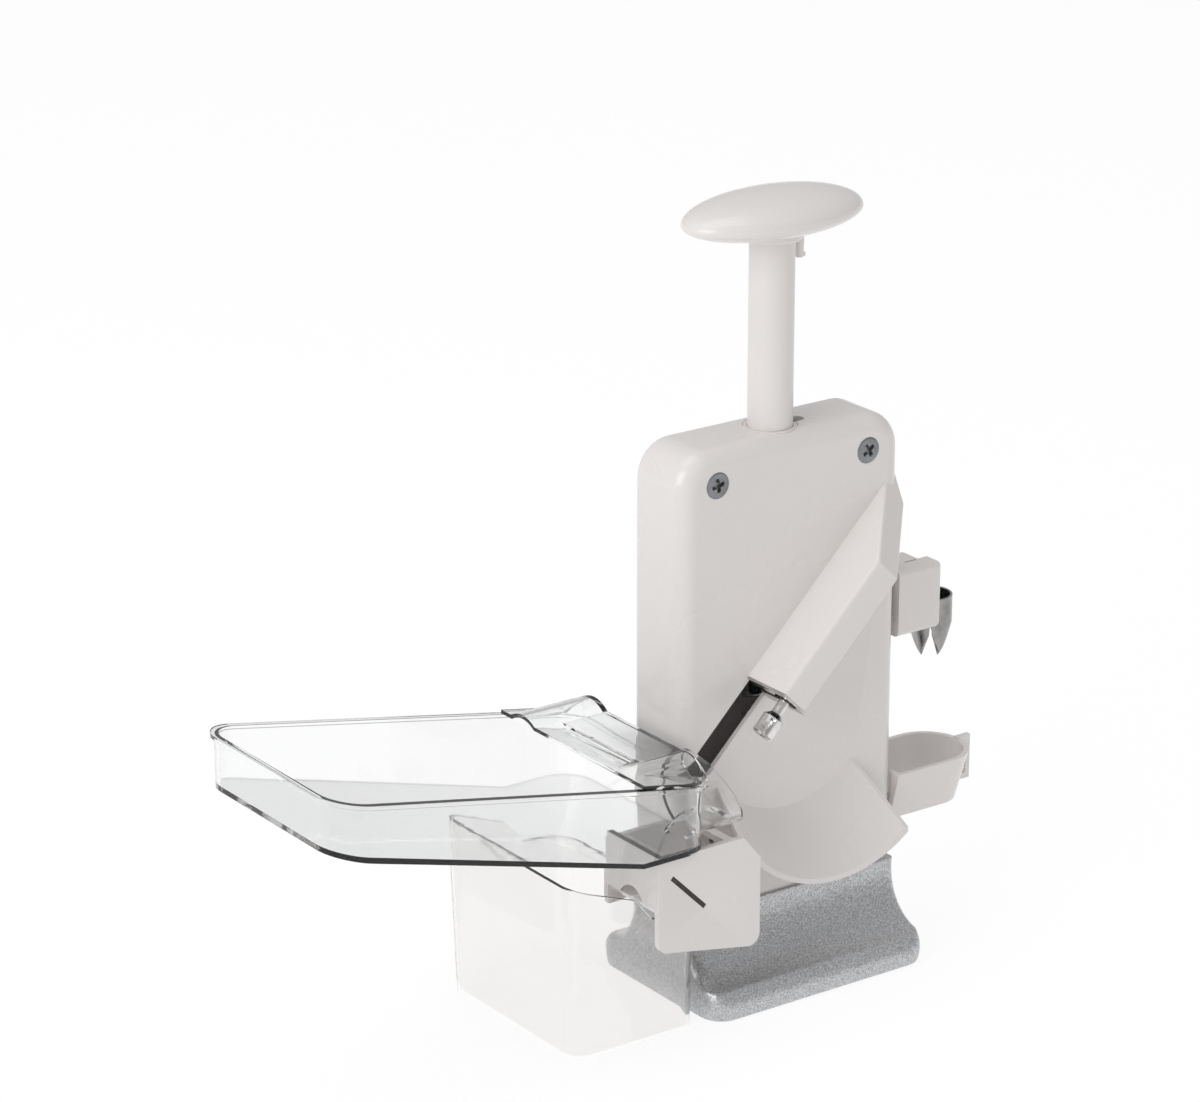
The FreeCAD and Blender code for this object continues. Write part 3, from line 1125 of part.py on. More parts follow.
def tray_cover():
    """Clear cover with two arches over the lower end of the tray."""
    above_rim = prism_y([(COVER_LEFT, rim_height(COVER_LEFT)), (TRAY_RIGHT, TRAY_RIM_RIGHT), (TRAY_RIGHT, 150),
                         (COVER_LEFT, 150)], -90, 90)
    deck = prism_y([(COVER_LEFT, rim_height(COVER_LEFT)), (TRAY_RIGHT, TRAY_RIM_RIGHT),
                    (TRAY_RIGHT, TRAY_RIM_RIGHT + COVER_WALL), (COVER_LEFT, rim_height(COVER_LEFT) + COVER_WALL)],
                   TRAY_FRONT, TRAY_BACK)
    plan = rounded_plate(TRAY_LEFT, TRAY_RIGHT, TRAY_FRONT, TRAY_BACK, 50, 160, TRAY_CORNER)
    form = cover_form(0).fuse(deck).common(above_rim).common(plan)
    return form.cut(cover_form(COVER_WALL)).removeSplitter()


def step_height(x):
    """Height of the pit box rim on its step, below the left wall of the holder."""
    return BOX_RIM_STEP + (x - BOX_STEP_X) / BOX_STEP_RUN * (BOX_RIM_LOW - BOX_RIM_STEP)


def box_rim():
    """Outline in XZ that keeps the part of the pit box below its stepped rim."""
    return [(BOX_LEFT - 10, -1), (BOX_RIGHT + 1, -1), (BOX_RIGHT + 1, BOX_RIM_RIGHT),
            (BOX_STEP_X + BOX_STEP_RUN, BOX_RIM_LOW), (BOX_STEP_X, BOX_RIM_STEP),
            (BOX_LEFT, BOX_RIM_LEFT), (BOX_LEFT - 10, BOX_RIM_LEFT)]


def box_form(inset, bottom, top):
    """Drafted block of the pit box, inset by a wall."""
    def ring(z, draft):
        block = rounded_plate(BOX_LEFT + inset - draft, BOX_RIGHT - inset, BOX_FRONT + inset - draft,
                              BOX_BACK - inset + draft, z, z + 1, BOX_CORNER - inset)
        return min(block.Faces, key=lambda f: f.CenterOfMass.z).OuterWire
    return Part.makeLoft([ring(bottom, 0), ring(top, BOX_DRAFT)], True, True)


def pit_container():
    """Clear box for the pits, open at the top."""
    keep = prism_y(box_rim(), BOX_FRONT - 20, BOX_BACK + 20)
    outer = box_form(0, 0, BOX_RIM_LEFT + 2)
    inner = box_form(BOX_WALL, BOX_WALL, BOX_RIM_LEFT + 2 + BOX_WALL)
    return outer.cut(inner).common(keep)


def main():
    """Builds and writes every node."""
    os.makedirs("parts", exist_ok=True)
    shell = case_shell()
    save("base_foot", base_foot())
    save("rubber_feet", rubber_feet())
    save("base_screws", base_screws())
    save("rear_shell", rear_shell(shell))
    save("front_shell", front_shell(shell))
    save("case_screws", case_screws())
    save("column_bush", column_bush())
    save("plunger_column", plunger_column())
    save("column_cross_pin", cross_pin())
    save("knob", knob())
    save("carriage", carriage())
    save("spring_guide_rod", spring_guide_rod())
    save("end_stop_bumper", end_stop_bumper())
    save("return_spring", return_spring())
    save("cherry_slider", cherry_slider())
    save("follower_pin", follower_pin())
    save("follower_roller", follower_roller())
    save("cherry_pin", cherry_pin())
    save("pin_set_screw", pin_set_screw())
    save("stripper_plate", stripper_plate())
    save("stripper_screws", stripper_screws())
    save("plum_block", plum_block())
    save("plum_block_screw", block_screw())
    save("plum_cutter", plum_cutter())
    save("plum_cup", plum_cup())
    save("plum_cup_screws", cup_screws())
    save("cherry_holder", cherry_holder())
    save("seat_membrane", seat_membrane())
    save("holder_screws", holder_screws())
    save("cherry_tray", cherry_tray())
    save("tray_cover", tray_cover())
    save("pit_container", pit_container())


main()
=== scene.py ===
"""Looks of a hand-press cherry and plum pitter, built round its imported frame."""

import logging
import math
from dataclasses import dataclass, field
from enum import Enum

import bmesh
import bpy
import numpy as np
from mathutils import Matrix, Vector


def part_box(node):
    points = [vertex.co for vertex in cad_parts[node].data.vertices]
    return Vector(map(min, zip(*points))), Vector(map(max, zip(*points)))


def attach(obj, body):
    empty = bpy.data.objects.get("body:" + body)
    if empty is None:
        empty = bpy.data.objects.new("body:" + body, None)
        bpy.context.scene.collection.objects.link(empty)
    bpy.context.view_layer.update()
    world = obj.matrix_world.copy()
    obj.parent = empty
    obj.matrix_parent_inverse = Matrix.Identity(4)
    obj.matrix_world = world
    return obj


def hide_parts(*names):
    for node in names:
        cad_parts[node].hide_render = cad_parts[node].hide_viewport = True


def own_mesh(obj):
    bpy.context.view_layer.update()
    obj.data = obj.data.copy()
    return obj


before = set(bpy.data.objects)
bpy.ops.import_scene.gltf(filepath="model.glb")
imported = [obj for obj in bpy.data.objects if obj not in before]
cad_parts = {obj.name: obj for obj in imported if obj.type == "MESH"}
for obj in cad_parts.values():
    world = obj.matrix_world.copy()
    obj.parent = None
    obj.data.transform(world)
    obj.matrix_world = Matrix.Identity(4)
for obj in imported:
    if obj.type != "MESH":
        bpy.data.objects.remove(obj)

LOG = logging.getLogger("pitter")
MM = 0.001
DIAGONAL = math.sqrt(0.5)

# Radius in millimetres at which a turned form closes on its axis, and the radius of a sharp corner
POLE = 0.01
SHARP = 1e-4
TINY = 1e-9

# Distances in metres under which two points are one, in a new piece and in a copy
SAME_POINT = 1e-6
SAME_COPY_POINT = 2e-6

# Angles in degrees above which an edge stays sharp, and how far past that it is eased
SOFT_CREASE = 24.0
PIECE_CREASE = 35.0
EASED_MARGIN = 8.0
EASED_SEGMENTS = 2

# Reach of a noise value
NOISE_LOW = 0.3
NOISE_HIGH = 0.7


class Body(str, Enum):
    """Bodies of the frame that a piece can ride on."""

    CASING = "casing"
    PLUNGER = "plunger"
    SLIDER = "pin_slider"
    TRAY = "feed_tray"
    PIT_BOX = "pit_box"


class Ends(Enum):
    """How the first and last ring of a skin are finished."""

    OPEN = "open"
    CAPPED = "capped"
    JOINED = "joined"


# Places

@dataclass(frozen=True)
class Datum:
    """Axis of the plunger on the table, and the sloping line of the cherry pin, in millimetres."""

    mouth_x: float = -14.9
    mouth_z: float = 120.1

    @property
    def axis(self) -> np.ndarray:
        """Plunger axis in the row frame, read from the column's box."""
        low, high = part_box("plunger_column")
        return np.array([(low.x + high.x) / 2, (low.y + high.y) / 2, 0.0])

    def place(self, points: np.ndarray) -> np.ndarray:
        """Millimetres about the plunger axis, as metres in the row frame.

        Args:
            points: array whose last axis is x, y, z in millimetres.

        Returns:
            The same points in metres.
        """
        return np.asarray(points, float) * MM + self.axis

    def pin_line(self, points: np.ndarray) -> np.ndarray:
        """Points given as distance up the pin line, y, and distance across it.

        Formula: x is the mouth's x plus (along - across) / root 2, and z the mouth's z plus (along +
        across) / root 2.

        Args:
            points: array whose last axis is along, y, across in millimetres.

        Returns:
            x, y, z in millimetres.
        """
        p = np.asarray(points, float)
        along, y, across = p[..., 0], p[..., 1], p[..., 2]
        return np.stack([self.mouth_x + DIAGONAL * (along - across), y,
                         self.mouth_z + DIAGONAL * (along + across)], -1)


DATUM = Datum()


# Surfaces

@dataclass
class Skin:
    """Grid of points that is joined into faces."""

    rings: np.ndarray
    ends: Ends = Ends.CAPPED

    def faces(self) -> tuple[np.ndarray, list[list[int]]]:
        """Joins each ring to the next, round the ring, and closes the ends.

        Returns:
            The points as rows, and the faces as lists of row numbers.
        """
        count, around, _ = self.rings.shape
        spans = count if self.ends is Ends.JOINED else count - 1
        i = np.arange(spans)[:, None]
        j = np.arange(around)[None, :]
        after = (i + 1) % count
        beside = (j + 1) % around
        quads = np.stack([i * around + j, i * around + beside, after * around + beside,
                          after * around + j], -1)
        faces = quads.reshape(-1, 4).tolist()
        if self.ends is Ends.CAPPED:
            faces.append(list(range(around))[::-1])
            faces.append(list(range((count - 1) * around, count * around)))
        return self.rings.reshape(-1, 3), faces


def rounded_outline(corners: np.ndarray, radii: np.ndarray, steps: int) -> np.ndarray:
    """Closed flat outline whose corners are arcs.

    Formula: at each corner the arc starts and ends a length radius / tan(half angle) from the corner,
    and its points are centre + radius * (cos, sin) of an angle that runs evenly between the two tangent
    points.

    Args:
        corners: (n, 2) corners in order.
        radii: (n,) radius at each corner; a very small one stands for a sharp corner.
        steps: points on each arc.

    Returns:
        (n * steps, 2) points.
    """
    p = np.asarray(corners, float)
    r = np.maximum(np.broadcast_to(np.asarray(radii, float), (len(p),)), SHARP)
    back = np.roll(p, 1, 0) - p
    ahead = np.roll(p, -1, 0) - p
    back = back / np.linalg.norm(back, axis=1, keepdims=True)
    ahead = ahead / np.linalg.norm(ahead, axis=1, keepdims=True)
    half = np.arccos(np.clip((back * ahead).sum(1), -1, 1)) / 2
    middle = back + ahead
    middle = middle / np.linalg.norm(middle, axis=1, keepdims=True)
    centre = p + middle * (r / np.sin(half))[:, None]
    start = p + back * (r / np.tan(half))[:, None] - centre
    finish = p + ahead * (r / np.tan(half))[:, None] - centre
    a0 = np.arctan2(start[:, 1], start[:, 0])
    turn = np.arctan2(finish[:, 1], finish[:, 0]) - a0
    turn = (turn + np.pi) % (2 * np.pi) - np.pi
    t = np.linspace(0, 1, steps)
    angle = a0[:, None] + turn[:, None] * t[None, :]
    arc = centre[:, None, :] + r[:, None, None] * np.stack([np.cos(angle), np.sin(angle)], -1)
    return arc.reshape(-1, 2)


def arc_through(a: tuple, b: tuple, c: tuple, steps: int) -> np.ndarray:
    """Points on the circle through three points, from the first to the last.

    Formula: the centre is where the bisectors cross, and the angle runs evenly from a to c on the side
    of b.

    Args:
        a: first point.
        b: point between.
        c: last point.
        steps: number of points.

    Returns:
        (steps, 2) points.
    """
    a, b, c = (np.asarray(v, float) for v in (a, b, c))
    m = 2 * np.array([b - a, c - a])
    centre = np.linalg.solve(m, np.array([b @ b - a @ a, c @ c - a @ a]))
    angles = [math.atan2(v[1] - centre[1], v[0] - centre[0]) for v in (a, b, c)]
    full = 2 * np.pi
    to_b = (angles[1] - angles[0]) % full
    to_c = (angles[2] - angles[0]) % full
    turn = to_c if to_b < to_c else to_c - full
    angle = angles[0] + turn * np.linspace(0, 1, steps)
    return centre + np.linalg.norm(a - centre) * np.stack([np.cos(angle), np.sin(angle)], -1)


def revolve(profile: np.ndarray, centre: tuple[float, float, float], turns: int = 64,
            ends: Ends = Ends.JOINED) -> Skin:
    """Surface of revolution about an upright axis.

    Formula: a profile point (r, h) goes to centre + r * (cos a, sin a) across the axis + h along it,
    for a full turn.

    Args:
        profile: (k, 2) radius and height; closed on itself when the ends are joined.
        centre: point on the axis at height zero.
        turns: points round the circle.
        ends: how the profile's ends are finished.

    Returns:
        The skin, in the units of the profile.
    """
    a = np.linspace(0, 2 * np.pi, turns, endpoint=False)
    r, h = np.asarray(profile, float).T
    across = r[:, None] * np.cos(a)[None, :]
    up = r[:, None] * np.sin(a)[None, :]
    along = np.repeat(h[:, None], turns, 1)
    return Skin(np.stack([across, up, along], -1) + np.asarray(centre, float), ends)


def slab(outline: np.ndarray, low: float, high: float, edge: float, steps: int = 4) -> np.ndarray:
    """Rings of a plate with rounded rims.

    Formula: each ring is the outline moved inwards by edge * (1 - cos b) at a depth edge * (1 - sin b)
    from the face, for b from 90 degrees down to 0, and the same at the other face.

    Args:
        outline: (m, 2) closed outline, counter-clockwise.
        low: depth of the first face.
        high: depth of the second face.
        edge: radius of the rim.
        steps: rings on each rim.

    Returns:
        (2 * steps, m, 3) rings as outline u, outline v, depth.
    """
    ahead = np.roll(outline, -1, 0) - np.roll(outline, 1, 0)
    normal = np.stack([ahead[:, 1], -ahead[:, 0]], -1)
    normal /= np.maximum(np.linalg.norm(normal, axis=1, keepdims=True), TINY)
    b = np.linspace(np.pi / 2, 0, steps)
    inset = np.concatenate([edge * (1 - np.cos(b)), edge * (1 - np.cos(b[::-1]))])
    depth = np.concatenate([low + edge * (1 - np.sin(b)), high - edge * (1 - np.sin(b[::-1]))])
    flat = outline[None] - normal[None] * inset[:, None, None]
    return np.concatenate([flat, np.broadcast_to(depth[:, None, None], flat.shape[:2] + (1,))], -1)


# Screw head: share of the radius that is domed, its fall, and radius and height shares over the rim
DOME_SHARE = 0.86
DOME_RINGS = 42
DOME_FALL = 0.35
HEAD_RIM = ((0.92, 0.66), (0.97, 0.45), (0.995, 0.2), (1.0, 0.0))
HEAD_POINTS = 120
RECESS_BEVEL = 0.22


def screw_head(radius: float, proud: float, seat: float, arm: float, width: float, sink: float,
               turn: float) -> np.ndarray:
    """Rings of a low domed screw head with a cross recess, looking along +h.

    Formula: height is a shallow dome, minus a sink that is full inside either arm of the cross and
    fades over its bevel. The rings run out along the radius, over the rounded rim and down the side.

    Args:
        radius: radius of the head.
        proud: height of the dome.
        seat: depth of the side below the rim.
        arm: half length of a recess arm.
        width: width of a recess arm.
        sink: depth of the recess.
        turn: how far the cross is turned, in degrees.

    Returns:
        (k, m, 3) rings as u, v, height.
    """
    dome = np.linspace(0, DOME_SHARE, DOME_RINGS)
    rim_out, rim_up = np.array(HEAD_RIM).T
    r = np.concatenate([dome * radius, radius * rim_out, [radius]])
    lift = np.concatenate([proud * (1 - DOME_FALL * dome ** 2), proud * rim_up, [-seat]])
    a = np.linspace(0, 2 * np.pi, HEAD_POINTS, endpoint=False)
    u = r[:, None] * np.cos(a)[None, :]
    v = r[:, None] * np.sin(a)[None, :]
    c, s = math.cos(math.radians(turn)), math.sin(math.radians(turn))
    cu, cv = c * u + s * v, -s * u + c * v

    def inside(long_way: np.ndarray, short_way: np.ndarray) -> np.ndarray:
        """Share of the full depth at a point, from the distances along and across one arm."""
        bevel = RECESS_BEVEL * width
        ends = np.clip((arm - np.abs(long_way)) / bevel, 0, 1)
        sides = np.clip((width / 2 - np.abs(short_way)) / bevel + 0.5, 0, 1)
        return ends * sides

    depth = sink * np.maximum(inside(cu, cv), inside(cv, cu))
    return np.stack([u, v, lift[:, None] - depth], -1)


# Meshes

def finish_mesh(name: str, mesh: bpy.types.Mesh, merge: float, crease: float) -> bpy.types.Object:
    """Closes, turns outwards and smooths a mesh, and puts it in the scene.

    Args:
        name: name of the object.
        mesh: mesh in metres.
        merge: distance under which points are one.
        crease: angle in degrees above which an edge stays sharp.

    Returns:
        The object.
    """
    bm = bmesh.new()
    bm.from_mesh(mesh)
    bmesh.ops.remove_doubles(bm, verts=bm.verts, dist=merge)
    bmesh.ops.dissolve_degenerate(bm, edges=bm.edges, dist=merge)
    bmesh.ops.recalc_face_normals(bm, faces=bm.faces)
    bm.to_mesh(mesh)
    bm.free()
    mesh.polygons.foreach_set("use_smooth", np.ones(len(mesh.polygons), bool))
    mesh.set_sharp_from_angle(angle=math.radians(crease))
    mesh.update()
    obj = bpy.data.objects.new(name, mesh)
    bpy.context.scene.collection.objects.link(obj)
    return obj


def piece(name: str, skins: list[Skin], crease: float = PIECE_CREASE) -> bpy.types.Object:
    """One object from skins given in millimetres about the plunger axis.

    Args:
        name: name of the object.
        skins: the surfaces of the piece.
        crease: angle in degrees above which an edge stays sharp.

    Returns:
        The object, with its place in its mesh.
    """
    points, faces, start = [], [], 0
    for skin in skins:
        rows, sides = skin.faces()
        points.append(DATUM.place(rows))
        faces += [[index + start for index in side] for side in sides]
        start += len(rows)
    mesh = bpy.data.meshes.new(name)
    mesh.from_pydata(np.concatenate(points).tolist(), [], faces)
    return finish_mesh(name, mesh, SAME_POINT, crease)


def moulded_copy(node: str, crease: float, edge: float) -> bpy.types.Object:
    """Merged and smoothed copy of a CAD node, with its rims eased.

    Args:
        node: name of the node.
        crease: angle in degrees above which an edge stays sharp.
        edge: radius in millimetres that eases the sharp edges.

    Returns:
        The copy, which stands for the node.
    """
    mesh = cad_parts[node].data.copy()
    mesh.name = node + "_form"
    mesh.materials.clear()
    for layer in ("custom_normal", "sharp_face"):
        if layer in mesh.attributes:
            mesh.attributes.remove(mesh.attributes[layer])
    obj = finish_mesh(node + "_form", mesh, SAME_COPY_POINT, crease)
    bevel = obj.modifiers.new("eased_edges", "BEVEL")
    bevel.width = edge * MM
    bevel.segments = EASED_SEGMENTS
    bevel.limit_method = "ANGLE"
    bevel.angle_limit = math.radians(crease + EASED_MARGIN)
    bevel.miter_outer = "MITER_ARC"
    bevel.harden_normals = False
    return obj


def mount(obj: bpy.types.Object, body: Body, finish: "Finish", slot: str, *nodes: str) -> bpy.types.Object:
    """Dresses a piece, seats it on its body and says which nodes it stands for.

    Args:
        obj: the piece.
        body: body that it rides on.
        finish: its material.
        slot: not used.
        nodes: CAD nodes that it replaces.

    Returns:
        The piece.
    """
    obj.data.materials.clear()
    obj.data.materials.append(finish.material())
    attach(obj, body.value)
    if nodes:
        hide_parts(*nodes)
    LOG.info("%s: %d faces, on %s, for %s", obj.name, len(obj.data.polygons), body.value, nodes or "itself")
    return obj


def keep(node: str, body: Body, finish: "Finish", slot: str, edge: float,
         crease: float = SOFT_CREASE) -> None:
    """Dresses an eased copy of a CAD node that keeps its form.

    Args:
        node: name of the node.
        body: body that it rides on.
        finish: its material.
        slot: passed on to mount; not used.
        edge: radius in millimetres that eases its sharp edges.
        crease: angle in degrees above which an edge stays sharp.
    """
    mount(moulded_copy(node, crease, edge), body, finish, slot, node)


# Finishes

class Nodes:
    """Lays out the nodes of one material."""

    def __init__(self, name: str) -> None:
        """Starts a material with a principled shader.

        Args:
            name: name of the material.
        """
        self.material = bpy.data.materials.new(name)
        self.material.use_nodes = True
        self.tree = self.material.node_tree
        self.tree.nodes.clear()
        self.output = self.tree.nodes.new("ShaderNodeOutputMaterial")
        self.shader = self.tree.nodes.new("ShaderNodeBsdfPrincipled")
        self.tree.links.new(self.shader.outputs[0], self.output.inputs["Surface"])
        self.coords = self.tree.nodes.new("ShaderNodeTexCoord").outputs["Object"]

    def set(self, **sockets: object) -> None:
        """Sets sockets of the principled shader; an underscore in a name stands for a space."""
        for name, value in sockets.items():
            self.shader.inputs[name.replace("_", " ")].default_value = value

    def link(self, source: bpy.types.NodeSocket, target: str) -> None:
        """Joins a socket to one of the principled shader's."""
        self.tree.links.new(source, self.shader.inputs[target])

    def stretched(self, scale: tuple[float, float, float]) -> bpy.types.NodeSocket:
        """Object coordinates, scaled by axis.

        Args:
            scale: factor along x, y and z.

        Returns:
            The scaled coordinates.
        """
        mapping = self.tree.nodes.new("ShaderNodeMapping")
        mapping.inputs["Scale"].default_value = scale
        self.tree.links.new(self.coords, mapping.inputs["Vector"])
        return mapping.outputs[0]

    def noise(self, scale: float, detail: float = 3.0, coords: bpy.types.NodeSocket | None = None,
              rough: float = 0.55) -> bpy.types.NodeSocket:
        """Noise on object coordinates.

        Args:
            scale: cells a metre.
            detail: octaves.
            coords: other coordinates, or None.
            rough: weight of the finer octaves.

        Returns:
            The noise value.
        """
        node = self.tree.nodes.new("ShaderNodeTexNoise")
        node.inputs["Scale"].default_value = scale
        node.inputs["Detail"].default_value = detail
        node.inputs["Roughness"].default_value = rough
        self.tree.links.new(coords or self.coords, node.inputs["Vector"])
        return node.outputs["Fac"]

    def cells(self, scale: float) -> bpy.types.NodeSocket:
        """Smoothed distance to the nearest of a scatter of points.

        Args:
            scale: cells a metre.

        Returns:
            The distance.
        """
        node = self.tree.nodes.new("ShaderNodeTexVoronoi")
        node.feature = "SMOOTH_F1"
        node.inputs["Scale"].default_value = scale
        self.tree.links.new(self.coords, node.inputs["Vector"])
        return node.outputs["Distance"]

    def ramp(self, value: bpy.types.NodeSocket, dark: tuple, light: tuple, low: float = NOISE_LOW,
             high: float = NOISE_HIGH) -> bpy.types.NodeSocket:
        """Colour that runs softly from dark at low to light at high.

        Args:
            value: the driving value.
            dark: first colour.
            light: last colour.
            low: value of the first colour.
            high: value of the last colour.

        Returns:
            The colour.
        """
        node = self.tree.nodes.new("ShaderNodeValToRGB")
        node.color_ramp.interpolation = "EASE"
        first, last = node.color_ramp.elements
        first.position, last.position = low, high
        first.color = (*dark, 1.0)
        last.color = (*light, 1.0)
        self.tree.links.new(value, node.inputs["Fac"])
        return node.outputs["Color"]

    def between(self, value: bpy.types.NodeSocket, low: float, high: float) -> bpy.types.NodeSocket:
        """Spreads the usual reach of noise over a range, softly at both ends.

        Args:
            value: the driving value.
            low: result at the low end of the noise.
            high: result at its high end.

        Returns:
            The result.
        """
        node = self.tree.nodes.new("ShaderNodeMapRange")
        node.interpolation_type = "SMOOTHSTEP"
        node.inputs["From Min"].default_value = NOISE_LOW
        node.inputs["From Max"].default_value = NOISE_HIGH
        node.inputs["To Min"].default_value = low
        node.inputs["To Max"].default_value = high
        self.tree.links.new(value, node.inputs["Value"])
        return node.outputs[0]

    def bump(self, height: bpy.types.NodeSocket, strength: float, depth: float) -> None:
        """Raises the surface.

        Args:
            height: the height value.
            strength: share of the effect.
            depth: height of a value of one, in metres.
        """
        node = self.tree.nodes.new("ShaderNodeBump")
        node.inputs["Strength"].default_value = strength
        node.inputs["Distance"].default_value = depth
        self.tree.links.new(height, node.inputs["Height"])
        if self.shader.inputs["Normal"].links:
            self.tree.links.new(self.shader.inputs["Normal"].links[0].from_socket, node.inputs["Normal"])
        self.tree.links.new(node.outputs[0], self.shader.inputs["Normal"])


@dataclass(frozen=True)
class Finish:
    """A finish that is made once and then shared."""

    name: str

    def material(self) -> bpy.types.Material:
        """The material of this finish, made on first use."""
        found = bpy.data.materials.get(self.name)
        if found is None:
            nodes = Nodes(self.name)
            self.lay(nodes)
            found = nodes.material
        return found

    def lay(self, nodes: Nodes) -> None:
        """Sets the shader up; each kind of finish has its own way."""
        raise NotImplementedError


@dataclass(frozen=True)
class Moulded(Finish):
    """Injection-moulded plastic: faint flow mottling, an orange-peel skin and uneven gloss."""

    light: tuple[float, float, float] = (0.825, 0.79, 0.775)
    dark: tuple[float, float, float] = (0.815, 0.778, 0.762)
    flow_cells: float = 9.0
    gloss: float = 0.27
    gloss_spread: float = 0.012
    gloss_cells: float = 40.0
    peel: float = 0.012
    peel_cells: float = 110.0
    peel_depth: float = 0.0008
    coat: float = 0.3
    coat_gloss: float = 0.08
    index: float = 1.5

    def lay(self, nodes: Nodes) -> None:
        """Colour from slow noise, roughness from finer noise, and a slight bump."""
        flow = nodes.noise(self.flow_cells, detail=2)
        shine = nodes.noise(self.gloss_cells, detail=2)
        nodes.link(nodes.ramp(flow, self.dark, self.light), "Base Color")
        low, high = self.gloss - self.gloss_spread, self.gloss + self.gloss_spread
        nodes.link(nodes.between(shine, low, high), "Roughness")
        nodes.set(IOR=self.index, Coat_Weight=self.coat, Coat_Roughness=self.coat_gloss)
        nodes.bump(nodes.noise(self.peel_cells, detail=1), self.peel, self.peel_depth)


@dataclass(frozen=True)
class Hammered(Finish):
    """Hammered metallic lacquer: shallow dimples with bright flakes between them."""

    dark: tuple[float, float, float] = (0.34, 0.345, 0.355)
    light: tuple[float, float, float] = (0.7, 0.71, 0.73)
    flake_cells: float = 1700.0
    flake_detail: float = 4.0
    flake_weight: float = 0.65
    flake_range: tuple[float, float] = (0.34, 0.66)
    gloss: tuple[float, float] = (0.3, 0.46)
    gloss_cells: float = 700.0
    metallic: float = 0.72
    coat: float = 0.35
    coat_gloss: float = 0.12
    dimple_cells: float = 700.0
    dimple: float = 0.3
    dimple_depth: float = 0.0006
    tooth_cells: float = 2400.0
    tooth: float = 0.15
    tooth_depth: float = 0.00015

    def lay(self, nodes: Nodes) -> None:
        """Flakes from fine noise over dimples from soft cells."""
        flakes = nodes.noise(self.flake_cells, self.flake_detail, rough=self.flake_weight)
        nodes.link(nodes.ramp(flakes, self.dark, self.light, *self.flake_range), "Base Color")
        nodes.link(nodes.between(nodes.noise(self.gloss_cells), *self.gloss), "Roughness")
        nodes.set(Metallic=self.metallic, Coat_Weight=self.coat, Coat_Roughness=self.coat_gloss)
        nodes.bump(nodes.cells(self.dimple_cells), self.dimple, self.dimple_depth)
        nodes.bump(nodes.noise(self.tooth_cells), self.tooth, self.tooth_depth)


@dataclass(frozen=True)
class Steel(Finish):
    """Worked steel: drawn or turned lines, a little tarnish and an uneven polish."""

    colour: tuple[float, float, float] = (0.62, 0.61, 0.6)
    tarnish: tuple[float, float, float] = (0.4, 0.39, 0.38)
    tarnish_cells: float = 90.0
    tarnish_detail: float = 5.0
    roughness: float = 0.26
    polish: tuple[float, float] = (-0.1, 0.12)
    grain: tuple[float, float, float] = (60.0, 60.0, 4000.0)
    grain_bump: float = 0.12
    grain_depth: float = 0.00008
    metallic: float = 1.0

    def lay(self, nodes: Nodes) -> None:
        """Colour from slow noise, roughness and bump from noise drawn out along the grain."""
        lines = nodes.noise(1.0, coords=nodes.stretched(self.grain))
        spots = nodes.noise(self.tarnish_cells, self.tarnish_detail)
        nodes.link(nodes.ramp(spots, self.tarnish, self.colour), "Base Color")
        low, high = (self.roughness + change for change in self.polish)
        nodes.link(nodes.between(lines, low, high), "Roughness")
        nodes.set(Metallic=self.metallic)
        nodes.bump(lines, self.grain_bump, self.grain_depth)


@dataclass(frozen=True)
class Rubber(Finish):
    """Soft rubber with a fine tooth."""

    dark: tuple[float, float, float] = (0.018, 0.018, 0.019)
    light: tuple[float, float, float] = (0.04, 0.04, 0.042)
    mottle_cells: float = 140.0
    mottle_detail: float = 4.0
    gloss: tuple[float, float] = (0.55, 0.8)
    gloss_cells: float = 400.0
    tooth_cells: float = 2600.0
    tooth: float = 0.3
    tooth_depth: float = 0.0002

    def lay(self, nodes: Nodes) -> None:
        """Mottled colour and a toothed bump."""
        mottle = nodes.noise(self.mottle_cells, self.mottle_detail)
        nodes.link(nodes.ramp(mottle, self.dark, self.light), "Base Color")
        nodes.link(nodes.between(nodes.noise(self.gloss_cells), *self.gloss), "Roughness")
        nodes.bump(nodes.noise(self.tooth_cells), self.tooth, self.tooth_depth)


@dataclass(frozen=True)
class Clear(Finish):
    """Clear styrene: it shows what is behind it, greys at glancing angles and has faint flow lines."""

    face: tuple[float, float, float] = (0.985, 0.99, 0.988)
    rim: tuple[float, float, float] = (0.7, 0.72, 0.71)
    tint_from: float = 0.55
    tint_to: float = 0.98
    tint_blend: float = 0.5
    gloss: tuple[float, float] = (0.01, 0.05)
    gloss_cells: float = 60.0
    ripple_cells: float = 45.0
    ripple: float = 0.06
    ripple_depth: float = 0.001
    index: float = 1.49

    def lay(self, nodes: Nodes) -> None:
        """Transmission with a tint that grows towards the rim of the form, and a slight ripple."""
        weight = nodes.tree.nodes.new("ShaderNodeLayerWeight")
        weight.inputs["Blend"].default_value = self.tint_blend
        tint = nodes.ramp(weight.outputs["Facing"], self.face, self.rim, self.tint_from, self.tint_to)
        nodes.link(tint, "Base Color")
        nodes.link(nodes.between(nodes.noise(self.gloss_cells), *self.gloss), "Roughness")
        nodes.set(IOR=self.index, Transmission_Weight=1.0)
        nodes.bump(nodes.noise(self.ripple_cells, detail=2), self.ripple, self.ripple_depth)


